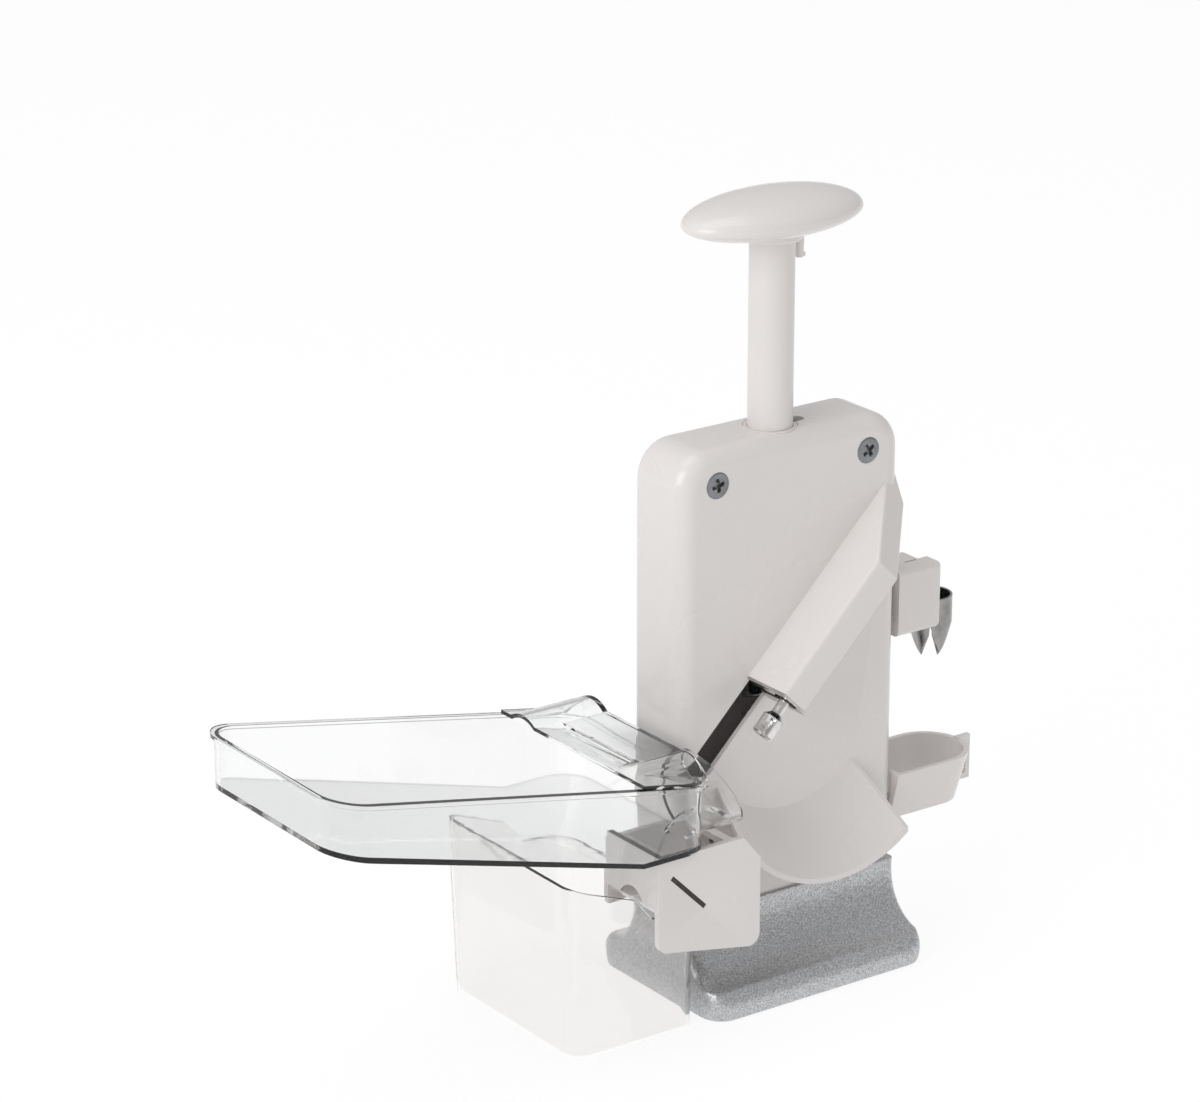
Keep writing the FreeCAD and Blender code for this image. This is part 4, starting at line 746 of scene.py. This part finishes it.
WHITE = Moulded("white_gloss_plastic")
WARM_WHITE = Moulded("white_column_plastic", light=(0.81, 0.775, 0.757), dark=(0.8, 0.763, 0.745),
                     gloss=0.34)
NATURAL = Moulded("grey_bearing_plastic", light=(0.42, 0.42, 0.4), dark=(0.36, 0.36, 0.34), gloss=0.4,
                  peel=0.1, coat=0.0)
DARK = Moulded("dark_slider_plastic", light=(0.13, 0.105, 0.06), dark=(0.085, 0.068, 0.038), gloss=0.38,
               peel=0.06, coat=0.0)
HAMMERED = Hammered("hammered_silver_lacquer")
PLATED = Steel("plated_steel")
SCREW_GREY = Steel("grey_screw_steel", colour=(0.3, 0.31, 0.325), tarnish=(0.2, 0.205, 0.215),
                   roughness=0.36, grain=(900.0, 900.0, 900.0), metallic=0.85)
BRIGHT = Steel("bright_pin_steel", colour=(0.78, 0.77, 0.76), tarnish=(0.6, 0.59, 0.575), roughness=0.17,
               grain=(500.0, 80.0, 500.0))
CUTTER = Steel("cutter_steel", colour=(0.42, 0.415, 0.41), tarnish=(0.24, 0.235, 0.23), roughness=0.3,
               grain=(1200.0, 1200.0, 60.0))
RUBBER = Rubber("black_rubber")
SEAT = Rubber("seat_rubber", dark=(0.03, 0.027, 0.024), light=(0.06, 0.055, 0.05))
CLEAR = Clear("clear_styrene")
SMOKED = Clear("clear_box_styrene", face=(0.955, 0.947, 0.942), rim=(0.5, 0.5, 0.49))


# Sub-assemblies

@dataclass
class Foot:
    """Cast foot with hollow-curved flares front and back, on four rubber feet."""

    length: float = 100.0
    height: float = 36.0
    reach: float = 37.8
    top_reach: float = 16.0
    toe: float = 3.6
    toe_inset: tuple[float, float] = (0.9, 0.3)
    toe_rise: float = 1.2
    shoulder: float = 11.8
    shoulder_inset: float = 3.3
    nose_inset: float = 0.5
    nose_drop: float = 3.6
    waist: float = 20.8
    wall: float = 2.6
    wall_clearance: float = 1.0
    ceiling_spread: float = 0.4
    lift: float = 1.0
    ease: float = 0.6
    rim_gap: float = 0.2
    rim: tuple[tuple[float, float, float], ...] = ((-0.02, -0.6, 0.0), (0.0, -0.15, 0.18), (0.0, 0.0, 0.6))
    closing: float = 0.9
    end_radius_low: float = 9.0
    end_radius_top: float = 2.2
    end_radius_least: float = 0.6
    end_steps: int = 11
    nose_steps: int = 12
    flare_steps: int = 34
    crease: float = 40.0
    pad: tuple[float, float] = (38.0, 26.0)
    pad_radius: float = 6.0
    pad_rims: tuple[float, ...] = (0.001, 0.45, 0.1, 0.001)
    pad_steps: int = 5
    post_height: float = 10.8
    post_rims: tuple[float, ...] = (0.001, 0.5, 0.5, 0.001)
    post_steps: int = 4
    around: int = 40

    def stations(self) -> np.ndarray:
        """Half width of the foot at each height, from the table up.

        Formula: a short upright toe, an arc round the nose, then a hollow arc up to the flat top.

        Returns:
            (n, 2) half widths and heights.
        """
        low, high = self.toe_inset
        shoulder = (self.reach - self.shoulder_inset, self.shoulder)
        nose_middle = (self.reach - self.nose_inset, self.shoulder - self.nose_drop)
        nose = arc_through((self.reach, self.toe), nose_middle, shoulder, self.nose_steps)
        top = (self.top_reach, self.height)
        flare = arc_through(shoulder, (self.waist, self.waist), top, self.flare_steps)
        start = [[self.reach - low, self.lift], [self.reach - high, self.lift + self.toe_rise]]
        return np.concatenate([start, nose, flare[1:]])

    def ring(self, half_width: float, height: float, inset: float) -> np.ndarray:
        """Outline of the foot at one height.

        Formula: a rounded rectangle whose corner radius grows evenly from the top down to the toe.

        Args:
            half_width: half of the foot's depth at this height.
            height: height above the table.
            inset: how far the outline is moved in.

        Returns:
            (m, 3) points.
        """
        share = (self.height - height) / (self.height - self.toe)
        growth = (self.end_radius_low - self.end_radius_top) * min(max(share, 0.0), 1.0)
        radius = max(self.end_radius_top + growth - inset, self.end_radius_least)
        x, y = self.length / 2 - inset, half_width - inset
        flat = rounded_outline([[-x, -y], [x, -y], [x, y], [-x, y]], radius, self.end_steps)
        level = np.full((len(flat), 1), height)
        return np.concatenate([flat, level], -1)

    def shell(self) -> bpy.types.Object:
        """Hollow shell, open below.

        Formula: rings stand at every station, outside, and moved in by the wall, inside. Both close
        over the top on the middle line.

        Returns:
            The object.
        """
        stations = self.stations()
        brow = self.height - self.ease - self.rim_gap
        ceiling = self.height - self.wall
        rim = [self.ring(self.top_reach + wide, self.height + high, inset)
               for wide, high, inset in self.rim]
        outer = [self.ring(y, z, 0.0) for y, z in stations if z < brow] + rim
        inner = [self.ring(y, z, self.wall) for y, z in stations if z < ceiling - self.wall_clearance]
        inner.append(self.ring(self.top_reach + self.ceiling_spread, ceiling, self.wall))
        to_line = np.array([self.closing, 0.0, 1.0])
        rings = [inner[-1] * to_line] + inner[::-1] + outer + [outer[-1] * to_line]
        return piece("base_shell", [Skin(np.stack(rings), Ends.OPEN)], self.crease)

    def studs(self, name: str, low: float, high: float, rims: tuple[float, ...], steps: int
              ) -> bpy.types.Object:
        """Four round studs, one near each corner of the foot.

        Formula: an upright profile with rounded rims is turned about each stud's own axis.

        Args:
            name: name of the object.
            low: height of the lower face.
            high: height of the upper face.
            rims: radii at the profile's four corners.
            steps: points on each rim.

        Returns:
            The object.
        """
        corner = [[POLE, low], [self.pad_radius, low], [self.pad_radius, high], [POLE, high]]
        profile = rounded_outline(corner, rims, steps)
        x, y = self.pad
        skins = [revolve(profile, (a, b, 0.0), turns=self.around) for a in (-x, x) for b in (-y, y)]
        return piece(name, skins)

    def build(self) -> None:
        """Makes the foot, the posts inside it and the rubber feet."""
        mount(self.shell(), Body.CASING, HAMMERED, "hammered_silver", "base_foot")
        posts = self.studs("foot_posts", self.lift, self.post_height, self.post_rims, self.post_steps)
        mount(posts, Body.CASING, HAMMERED, "hammered_silver")
        pads = self.studs("rubber_pads", 0.0, self.lift, self.pad_rims, self.pad_steps)
        mount(pads, Body.CASING, RUBBER, "black_rubber", "rubber_feet")


@dataclass
class Screws:
    """The fastenings: cross-recess heads with their shanks."""

    case_x: float = 34.4
    case_z: float = 201.3
    case_front: float = -14.45
    turns: tuple[float, float] = (12.0, 33.0)
    proud: float = 0.5
    head: float = 4.9
    seat: float = 1.6
    arm: float = 2.7
    width: float = 1.35
    sink: float = 1.5
    length: float = 21.0
    shank: float = 1.7
    shank_top: float = 1.55
    point_length: float = 0.4
    point_share: float = 0.4
    shank_around: int = 24
    crease: float = 40.0
    kept_edge: float = 0.12
    kept_crease: float = 30.0
    kept: tuple[str, ...] = ("base_screws", "plum_cup_screws", "holder_screws", "stripper_screws")

    def facing_front(self, x: float, turn: float) -> list[Skin]:
        """Head and shank of one case screw.

        Args:
            x: place across the casing, in millimetres.
            turn: how far the cross is turned, in degrees.

        Returns:
            The skins.
        """
        head = screw_head(self.head, self.proud, self.seat, self.arm, self.width, self.sink, turn)
        body = np.array([[self.shank, -self.shank_top], [self.shank, self.point_length - self.length],
                         [self.shank * self.point_share, -self.length]])
        rod = revolve(body, (0, 0, 0), turns=self.shank_around, ends=Ends.CAPPED).rings
        centre = np.array([x, self.case_front, self.case_z])
        turned = [np.stack([rings[..., 0], -rings[..., 2], rings[..., 1]], -1) for rings in (head, rod)]
        return [Skin(rings + centre, Ends.CAPPED) for rings in turned]

    def build(self) -> None:
        """Makes the case screws, and keeps the form of the others."""
        left, right = self.turns
        skins = self.facing_front(-self.case_x, left) + self.facing_front(self.case_x, right)
        pair = piece("case_screw_pair", skins, self.crease)
        mount(pair, Body.CASING, SCREW_GREY, "grey_steel", "case_screws")
        for node in self.kept:
            keep(node, Body.CASING, PLATED, "steel", self.kept_edge, self.kept_crease)


@dataclass
class Casing:
    """The two moulded halves with hood and scoop, the bush, and what stands inside."""

    front_edge: float = 0.45
    inner_edge: float = 0.3
    rod_edge: float = 0.2
    stop_edge: float = 0.4
    plate_edge: float = 0.15

    def build(self) -> None:
        """Dresses both halves and the inner pieces."""
        keep("front_shell", Body.CASING, WHITE, "white_plastic", self.front_edge)
        keep("rear_shell", Body.CASING, WHITE, "white_plastic", self.inner_edge)
        keep("column_bush", Body.CASING, WARM_WHITE, "grey_plastic", self.inner_edge)
        keep("spring_guide_rod", Body.CASING, NATURAL, "grey_plastic", self.rod_edge)
        keep("end_stop_bumper", Body.CASING, RUBBER, "black_rubber", self.stop_edge)
        keep("stripper_plate", Body.CASING, PLATED, "steel", self.plate_edge)


@dataclass
class Plunger:
    """Push knob, column, carriage and the plum block with its cutter."""

    knob_half: tuple[float, float] = (38.0, 21.0)
    knob_bottom: float = 286.0
    knob_equator: float = 7.2
    knob_height: float = 16.6
    knob_power: float = 0.94
    knob_rings: int = 49
    knob_around: int = 144
    knob_crease: float = 50.0
    boss: float = 11.0
    boss_drop: float = 1.5
    boss_height: float = 6.0
    boss_gap: float = 0.02
    boss_rims: tuple[float, ...] = (0.3, 0.8, 0.3, 0.3)
    peg_x: float = 12.4
    peg_radius: float = 1.9
    peg_bottom: float = 275.2
    peg_taper: float = 0.35
    peg_sunk: float = 2.0
    peg_rims: tuple[float, ...] = (0.001, 0.5, 0.3, 0.001)
    peg_around: int = 32
    nub_back: float = 0.4
    nub_out: float = 0.45
    nub_heights: tuple[float, float, float] = (0.1, 1.7, 2.2)
    nub_rim: float = 0.35
    nub_half: float = 0.8
    nub_edge: float = 0.3
    rim_steps: int = 5
    column_radius: float = 8.4
    column_bore: float = 6.0
    column: tuple[float, float] = (190.0, 294.0)
    column_rim: float = 0.6
    column_around: int = 96
    cutter_x: float = 77.7
    cutter_radius: float = 8.4
    cutter_wall: float = 0.9
    cutter_low: float = 108.0
    cutter_bend: float = 121.0
    cutter_top: float = 132.0
    cutter_tip: float = 5.0
    cutter_turn: float = 54.0
    cutter_rim: float = 0.15
    cutter_crease: float = 30.0
    bend_rise: float = 0.9
    bend_inset: float = 0.06
    thinning: float = 1.2
    sharpness: float = 0.22
    slit: float = 0.4
    teeth: int = 4
    tooth: float = 9.7
    tooth_points: int = 56

    def cap(self) -> Skin:
        """Oval cap, domed above and flatter below.

        Formula: at latitude f the half widths are the full ones times cos f to a power near 1, and the
        height is sin f times the upper or the lower depth.

        Returns:
            The skin.
        """
        f = np.linspace(-np.pi / 2, np.pi / 2, self.knob_rings)
        a = np.linspace(0, 2 * np.pi, self.knob_around, endpoint=False)
        wide = np.clip(np.cos(f), 0, 1) ** self.knob_power
        rise = np.where(f > 0, self.knob_height - self.knob_equator, self.knob_equator) * np.sin(f)
        x = self.knob_half[0] * wide[:, None] * np.cos(a)[None, :]
        y = self.knob_half[1] * wide[:, None] * np.sin(a)[None, :]
        z = np.broadcast_to((self.knob_bottom + self.knob_equator + rise)[:, None], x.shape)
        return Skin(np.stack([x, y, z], -1), Ends.OPEN)

    def collar(self) -> Skin:
        """Round boss under the cap, about the column."""
        inner, low = self.column_radius + self.boss_gap, self.knob_bottom - self.boss_drop
        high = low + self.boss_height
        corner = [[inner, low], [self.boss, low], [self.boss, high], [inner, high]]
        return revolve(rounded_outline(corner, self.boss_rims, self.rim_steps), (0, 0, 0))

    def peg(self) -> list[Skin]:
        """Lock peg, which tapers slightly, and the nub at its foot."""
        r, foot = self.peg_radius, self.peg_bottom
        top = self.knob_bottom + self.knob_equator - self.peg_sunk
        corner = [[POLE, foot], [r - self.peg_taper, foot], [r, top], [POLE, top]]
        profile = rounded_outline(corner, self.peg_rims, self.rim_steps)
        rod = revolve(profile, (self.peg_x, 0, 0), turns=self.peg_around)
        back, out = self.peg_x - self.nub_back, self.peg_x + r + self.nub_out
        low, middle, high = (foot + height for height in self.nub_heights)
        side = rounded_outline([[back, low], [out, low], [out, middle], [back, high]], self.nub_rim, 4)
        nub = slab(side, -self.nub_half, self.nub_half, self.nub_edge)
        return [rod, Skin(nub[..., [0, 2, 1]], Ends.CAPPED)]

    def knob(self) -> bpy.types.Object:
        """Cap, boss, lock peg and nub as one piece."""
        return piece("push_knob", [self.cap(), self.collar()] + self.peg(), self.knob_crease)

    def tube(self) -> bpy.types.Object:
        """Column tube with eased ends."""
        low, high = self.column
        bore, radius = self.column_bore, self.column_radius
        corner = [[bore, low], [radius, low], [radius, high], [bore, high]]
        profile = rounded_outline(corner, self.column_rim, self.rim_steps)
        return piece("column_tube", [revolve(profile, (0, 0, 0), turns=self.column_around)])

    def cutter(self) -> bpy.types.Object:
        """Crown cutter whose teeth lean towards the middle.

        Formula: above the bend the radius is constant, and below it the radius falls evenly to the
        tips. At an angle f from the nearest slit the lower edge stands at a height u above the tips,
        where radius(u) * sin f equals the half width of the notch, which narrows evenly from the tips
        to the slit. The wall thins over its last stretch.

        Returns:
            The object.
        """
        pitch = 2 * np.pi / self.teeth
        a = np.linspace(0, 2 * np.pi, self.tooth_points * self.teeth, endpoint=False)
        f = (a - math.radians(self.cutter_turn) + pitch / 2) % pitch - pitch / 2
        sine = np.abs(np.sin(f))
        lean = (self.cutter_radius - self.cutter_tip) / (self.cutter_bend - self.cutter_low)
        wide = self.cutter_tip * math.sin(pitch / 2)
        u = (wide - self.cutter_tip * sine) / (lean * sine + (wide - self.slit) / self.tooth)
        u = np.where(u > self.tooth, self.cutter_bend - self.cutter_low, np.clip(u, 0, None))
        edge = self.cutter_low + u

        def radius(z: np.ndarray) -> np.ndarray:
            """Outer radius at a height."""
            return self.cutter_radius - lean * np.clip(self.cutter_bend - z, 0, None)

        top = np.full_like(a, self.cutter_top)
        bend = np.full_like(a, self.cutter_bend)
        soft = np.minimum(edge + self.thinning, bend)
        wall, rim = self.cutter_wall, self.cutter_rim
        outside = [(radius(top) - rim, top), (radius(top), top - rim),
                   (radius(bend), bend + self.bend_rise), (radius(bend) - self.bend_inset, bend),
                   (radius(soft), soft)]
        inside = [(radius(edge) - wall + self.sharpness, edge), (radius(edge) - wall, edge),
                  (radius(soft) - wall, soft), (radius(bend) - wall, bend), (radius(top) - wall, top - rim),
                  (radius(top) - wall + rim, top)]
        rings = [np.stack([self.cutter_x + r * np.cos(a), r * np.sin(a), z], -1)
                 for r, z in outside + inside]
        return piece("crown_cutter", [Skin(np.stack(rings), Ends.JOINED)], self.cutter_crease)

    def build(self) -> None:
        """Makes the knob, the column and the plum unit's moving half."""
        mount(self.knob(), Body.PLUNGER, WHITE, "white_plastic", "knob")
        mount(self.tube(), Body.PLUNGER, WARM_WHITE, "white_plastic", "plunger_column")
        keep("column_cross_pin", Body.PLUNGER, PLATED, "steel", 0.2)
        keep("carriage", Body.PLUNGER, NATURAL, "grey_plastic", 0.3)
        keep("plum_block", Body.PLUNGER, WHITE, "white_plastic", 0.25)
        keep("plum_block_screw", Body.PLUNGER, PLATED, "steel", 0.15)
        mount(self.cutter(), Body.PLUNGER, CUTTER, "bright_steel", "plum_cutter")


@dataclass
class ReturnSpring:
    """Round-wire coil spring between the rod's flange and the carriage."""

    centre_y: float = 4.5
    radius: float = 5.8
    wire: float = 0.6
    wire_sides: int = 8
    turns: int = 18
    turn_points: int = 28
    travel: float = 67.0
    crease: float = 60.0

    def build(self) -> None:
        """Makes the coil, which rides on the casing.

        Formula: the wire's middle climbs evenly on a circle, and each ring of the wire stands square to
        it, in the plane of the outward direction and its cross product with the tangent.
        """
        low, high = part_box("return_spring")
        bottom = low.z / MM + self.wire
        rise = high.z / MM - self.wire - bottom
        t = np.linspace(0, 1, self.turns * self.turn_points + 1)
        a = 2 * np.pi * self.turns * t
        across = self.centre_y + self.radius * np.sin(a)
        path = np.stack([self.radius * np.cos(a), across, bottom + rise * t], -1)
        ahead = np.gradient(path, axis=0)
        ahead /= np.linalg.norm(ahead, axis=1, keepdims=True)
        out = np.stack([np.cos(a), np.sin(a), np.zeros_like(a)], -1)
        side = np.cross(ahead, out)
        b = np.linspace(0, 2 * np.pi, self.wire_sides, endpoint=False)[None, :, None]
        rings = path[:, None] + self.wire * (np.cos(b) * out[:, None] + np.sin(b) * side[:, None])
        coil = piece("spring_coil", [Skin(rings)], self.crease)
        mount(coil, Body.CASING, PLATED, "steel", "return_spring")
        anchor = tuple(DATUM.place(np.array([0.0, self.centre_y, low.z / MM])))
        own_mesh(coil)


@dataclass
class CherrySlider:
    """Slider plate with its arm, the follower and the fluted pin."""

    pin_y: float = -31.5
    shaft: float = 2.15
    shaft_end: float = 0.4
    tip: float = 4.3
    tip_length: float = 7.6
    collar: float = 0.35
    reach: float = 16.3
    back: float = 23.0
    flutes: int = 4
    flute_depth: float = 1.6
    flute_power: float = 0.7
    pin_around: int = 144
    pin_crease: float = 32.0

    def stations(self) -> np.ndarray:
        """Distance along the pin, radius and share of the flutes' depth, from the face to the back."""
        face = -self.reach
        neck = face + self.tip_length
        dish = [[face + 1.7, 0.3, 0.0], [face + 0.1, 2.0, 0.0], [face, 2.35, 0.35], [face + 0.05, 3.6, 0.9]]
        head = [[face + 0.5, self.tip, 1.0], [face + 2.5, self.tip, 1.0], [face + 4.6, self.tip, 1.0],
                [neck - 1.4, self.tip, 0.85], [neck - 0.7, self.tip, 0.3], [neck, self.tip, 0.0]]
        rod = [[neck + 1.6, self.shaft + self.collar, 0.0], [neck + 2.0, self.shaft, 0.0],
               [self.back - self.shaft_end, self.shaft, 0.0], [self.back, self.shaft - self.shaft_end, 0.0],
               [self.back, 2 * POLE, 0.0]]
        return np.array(dish + head + rod)

    def pin(self) -> bpy.types.Object:
        """Pin with a fluted, dished head.

        Formula: along the pin the radius follows shaft, collar and head; over the head it is reduced by
        the flute depth times a raised cosine that peaks midway between the four lands.

        Returns:
            The object.
        """
        along, plain, share = self.stations().T[..., None]
        a = np.linspace(0, 2 * np.pi, self.pin_around, endpoint=False)
        groove = np.clip(-np.cos(self.flutes * a), 0, 1) ** self.flute_power
        radius = plain - self.flute_depth * share * groove[None, :]
        reach = np.repeat(along, len(a), 1)
        rings = np.stack([reach, self.pin_y + radius * np.cos(a), radius * np.sin(a)], -1)
        return piece("fluted_pin", [Skin(DATUM.pin_line(rings))], self.pin_crease)

    def build(self) -> None:
        """Makes the pin and dresses the slider."""
        mount(self.pin(), Body.SLIDER, BRIGHT, "bright_steel", "cherry_pin")
        keep("cherry_slider", Body.SLIDER, DARK, "dark_plastic", 0.25)
        keep("follower_pin", Body.SLIDER, PLATED, "steel", 0.2)
        keep("follower_roller", Body.SLIDER, NATURAL, "grey_plastic", 0.2)
        keep("pin_set_screw", Body.SLIDER, PLATED, "steel", 0.1)


@dataclass
class Holders:
    """Cherry holder with its seat sheet, and the plum cup."""

    edge: float = 0.5
    sheet_edge: float = 0.15

    def build(self) -> None:
        """Dresses the holder, the sheet and the cup."""
        keep("cherry_holder", Body.CASING, WHITE, "white_plastic", self.edge)
        keep("seat_membrane", Body.CASING, SEAT, "black_rubber", self.sheet_edge)
        keep("plum_cup", Body.CASING, WHITE, "white_plastic", self.edge)


@dataclass
class ClearWare:
    """Feed tray with its cover, and the pit box."""

    edge: float = 0.35

    def build(self) -> None:
        """Dresses the clear pieces."""
        keep("cherry_tray", Body.TRAY, CLEAR, "clear_plastic", self.edge)
        keep("tray_cover", Body.TRAY, CLEAR, "clear_plastic", self.edge)
        keep("pit_container", Body.PIT_BOX, SMOKED, "clear_plastic", self.edge)


# Studio

@dataclass
class Lamp:
    """One soft lamp."""

    name: str
    place: tuple[float, float, float]
    size: float
    power: float


@dataclass
class Studio:
    """Pale floor, soft lamps and the camera."""

    aim: tuple[float, float, float] = (0.02, 0.0, 0.12)
    world: float = 0.52
    lens: float = 141.0
    sensor: float = 36.0
    heading: float = 35.5
    fall: float = 19.8
    camera_place: tuple[float, float, float] = (-0.93175, -1.28652, 0.7496)
    clip: tuple[float, float] = (0.05, 50.0)
    floor_half: float = 40.0
    floor_paint: float = 0.84
    floor_glow: float = 1.08
    glow_shown: float = 0.82
    glow_thrown: float = 0.412
    lamps: list[Lamp] = field(default_factory=lambda: [
        Lamp("key", (-2.05, -0.55, 1.2), 1.5, 20.0),
        Lamp("top", (-0.3, 0.1, 2.3), 1.6, 9.0)])

    def camera(self) -> None:
        """Camera at the photograph's place, looking along its heading and fall."""
        h, f = math.radians(self.heading), math.radians(self.fall)
        ahead = Vector((math.sin(h) * math.cos(f), math.cos(h) * math.cos(f), -math.sin(f)))
        right = Vector((math.cos(h), -math.sin(h), 0.0))
        up = right.cross(ahead)
        data = bpy.data.cameras.new("camera")
        data.lens = self.lens
        data.sensor_fit = "HORIZONTAL"
        data.sensor_width = self.sensor
        data.clip_start, data.clip_end = self.clip
        obj = bpy.data.objects.new("camera", data)
        turn = Matrix((right, up, -ahead)).transposed().to_4x4()
        obj.matrix_world = Matrix.Translation(self.camera_place) @ turn
        bpy.context.scene.collection.objects.link(obj)
        bpy.context.scene.camera = obj

    def backdrop_material(self) -> bpy.types.Material:
        """Matt paint, whiter to the camera, in mirrors and through glass than in the light it throws."""
        material = bpy.data.materials.new("pale_floor")
        material.use_nodes = True
        tree = material.node_tree
        tree.nodes.clear()
        out = tree.nodes.new("ShaderNodeOutputMaterial")
        paint = tree.nodes.new("ShaderNodeBsdfDiffuse")
        glow = tree.nodes.new("ShaderNodeEmission")
        both = tree.nodes.new("ShaderNodeMixShader")
        glow.inputs["Strength"].default_value = self.floor_glow
        paint.inputs["Color"].default_value = (self.floor_paint, self.floor_paint, self.floor_paint, 1.0)
        tree.links.new(self.seen(tree, self.glow_shown, self.glow_thrown), both.inputs[0])
        tree.links.new(paint.outputs[0], both.inputs[1])
        tree.links.new(glow.outputs[0], both.inputs[2])
        tree.links.new(both.outputs[0], out.inputs["Surface"])
        return material

    def seen(self, tree: bpy.types.NodeTree, share: float, rest: float) -> bpy.types.NodeSocket:
        """One share for camera, glossy and transmission rays, and another for the rest.

        Args:
            tree: node tree to work in.
            share: the value that those rays get.
            rest: the value that all other rays get.

        Returns:
            The value.
        """
        path = tree.nodes.new("ShaderNodeLightPath")
        total = path.outputs["Is Camera Ray"]
        for name in ("Is Glossy Ray", "Is Transmission Ray"):
            add = tree.nodes.new("ShaderNodeMath")
            add.operation = "MAXIMUM"
            tree.links.new(total, add.inputs[0])
            tree.links.new(path.outputs[name], add.inputs[1])
            total = add.outputs[0]
        scale = tree.nodes.new("ShaderNodeMapRange")
        scale.inputs["To Min"].default_value = rest
        scale.inputs["To Max"].default_value = share
        tree.links.new(total, scale.inputs["Value"])
        return scale.outputs[0]

    def floor(self) -> None:
        """Wide floor at the height of the table."""
        side = self.floor_half
        places = [(-side, -side, 0), (side, -side, 0), (side, side, 0), (-side, side, 0)]
        mesh = bpy.data.meshes.new("floor")
        mesh.from_pydata(places, [], [(0, 1, 2, 3)])
        obj = bpy.data.objects.new("floor", mesh)
        mesh.materials.append(self.backdrop_material())
        bpy.context.scene.collection.objects.link(obj)

    def sky(self) -> None:
        """Even pale surroundings, white to the camera."""
        world = bpy.data.worlds.new("surroundings")
        world.use_nodes = True
        tree = world.node_tree
        tree.nodes.clear()
        out = tree.nodes.new("ShaderNodeOutputWorld")
        even = tree.nodes.new("ShaderNodeBackground")
        white = tree.nodes.new("ShaderNodeBackground")
        both = tree.nodes.new("ShaderNodeMixShader")
        even.inputs["Strength"].default_value = self.world
        white.inputs["Strength"].default_value = 1.0
        even.inputs["Color"].default_value = (1.0, 1.0, 1.0, 1.0)
        white.inputs["Color"].default_value = (1.0, 1.0, 1.0, 1.0)
        path = tree.nodes.new("ShaderNodeLightPath")
        tree.links.new(path.outputs["Is Camera Ray"], both.inputs[0])
        tree.links.new(even.outputs[0], both.inputs[1])
        tree.links.new(white.outputs[0], both.inputs[2])
        tree.links.new(both.outputs[0], out.inputs["Surface"])
        bpy.context.scene.world = world

    def light(self) -> None:
        """Square soft lamps, all aimed at the object."""
        for lamp in self.lamps:
            data = bpy.data.lights.new(lamp.name, "AREA")
            data.size = lamp.size
            data.energy = lamp.power
            obj = bpy.data.objects.new(lamp.name, data)
            obj.location = lamp.place
            obj.rotation_euler = (Vector(self.aim) - obj.location).to_track_quat("-Z", "Y").to_euler()
            bpy.context.scene.collection.objects.link(obj)

    def build(self) -> None:
        """Sets the floor, the surroundings, the lamps and the camera."""
        bpy.context.scene.view_settings.view_transform = "Standard"
        self.floor()
        self.sky()
        self.light()
        self.camera()


def corners(box: tuple) -> list[list[float]]:
    """Box corners as plain lists."""
    return [[float(value) for value in corner] for corner in box]


def main() -> None:
    """Builds every sub-assembly and the studio."""
    logging.basicConfig(level=logging.INFO, format="%(name)s: %(message)s")
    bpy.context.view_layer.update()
    parts = (Foot(), Casing(), Screws(), Plunger(), ReturnSpring(), CherrySlider(), Holders(), ClearWare())
    for part in parts:
        LOG.info("%s", type(part).__name__)
        part.build()
    Studio().build()


if __name__ == "__main__":
    main()
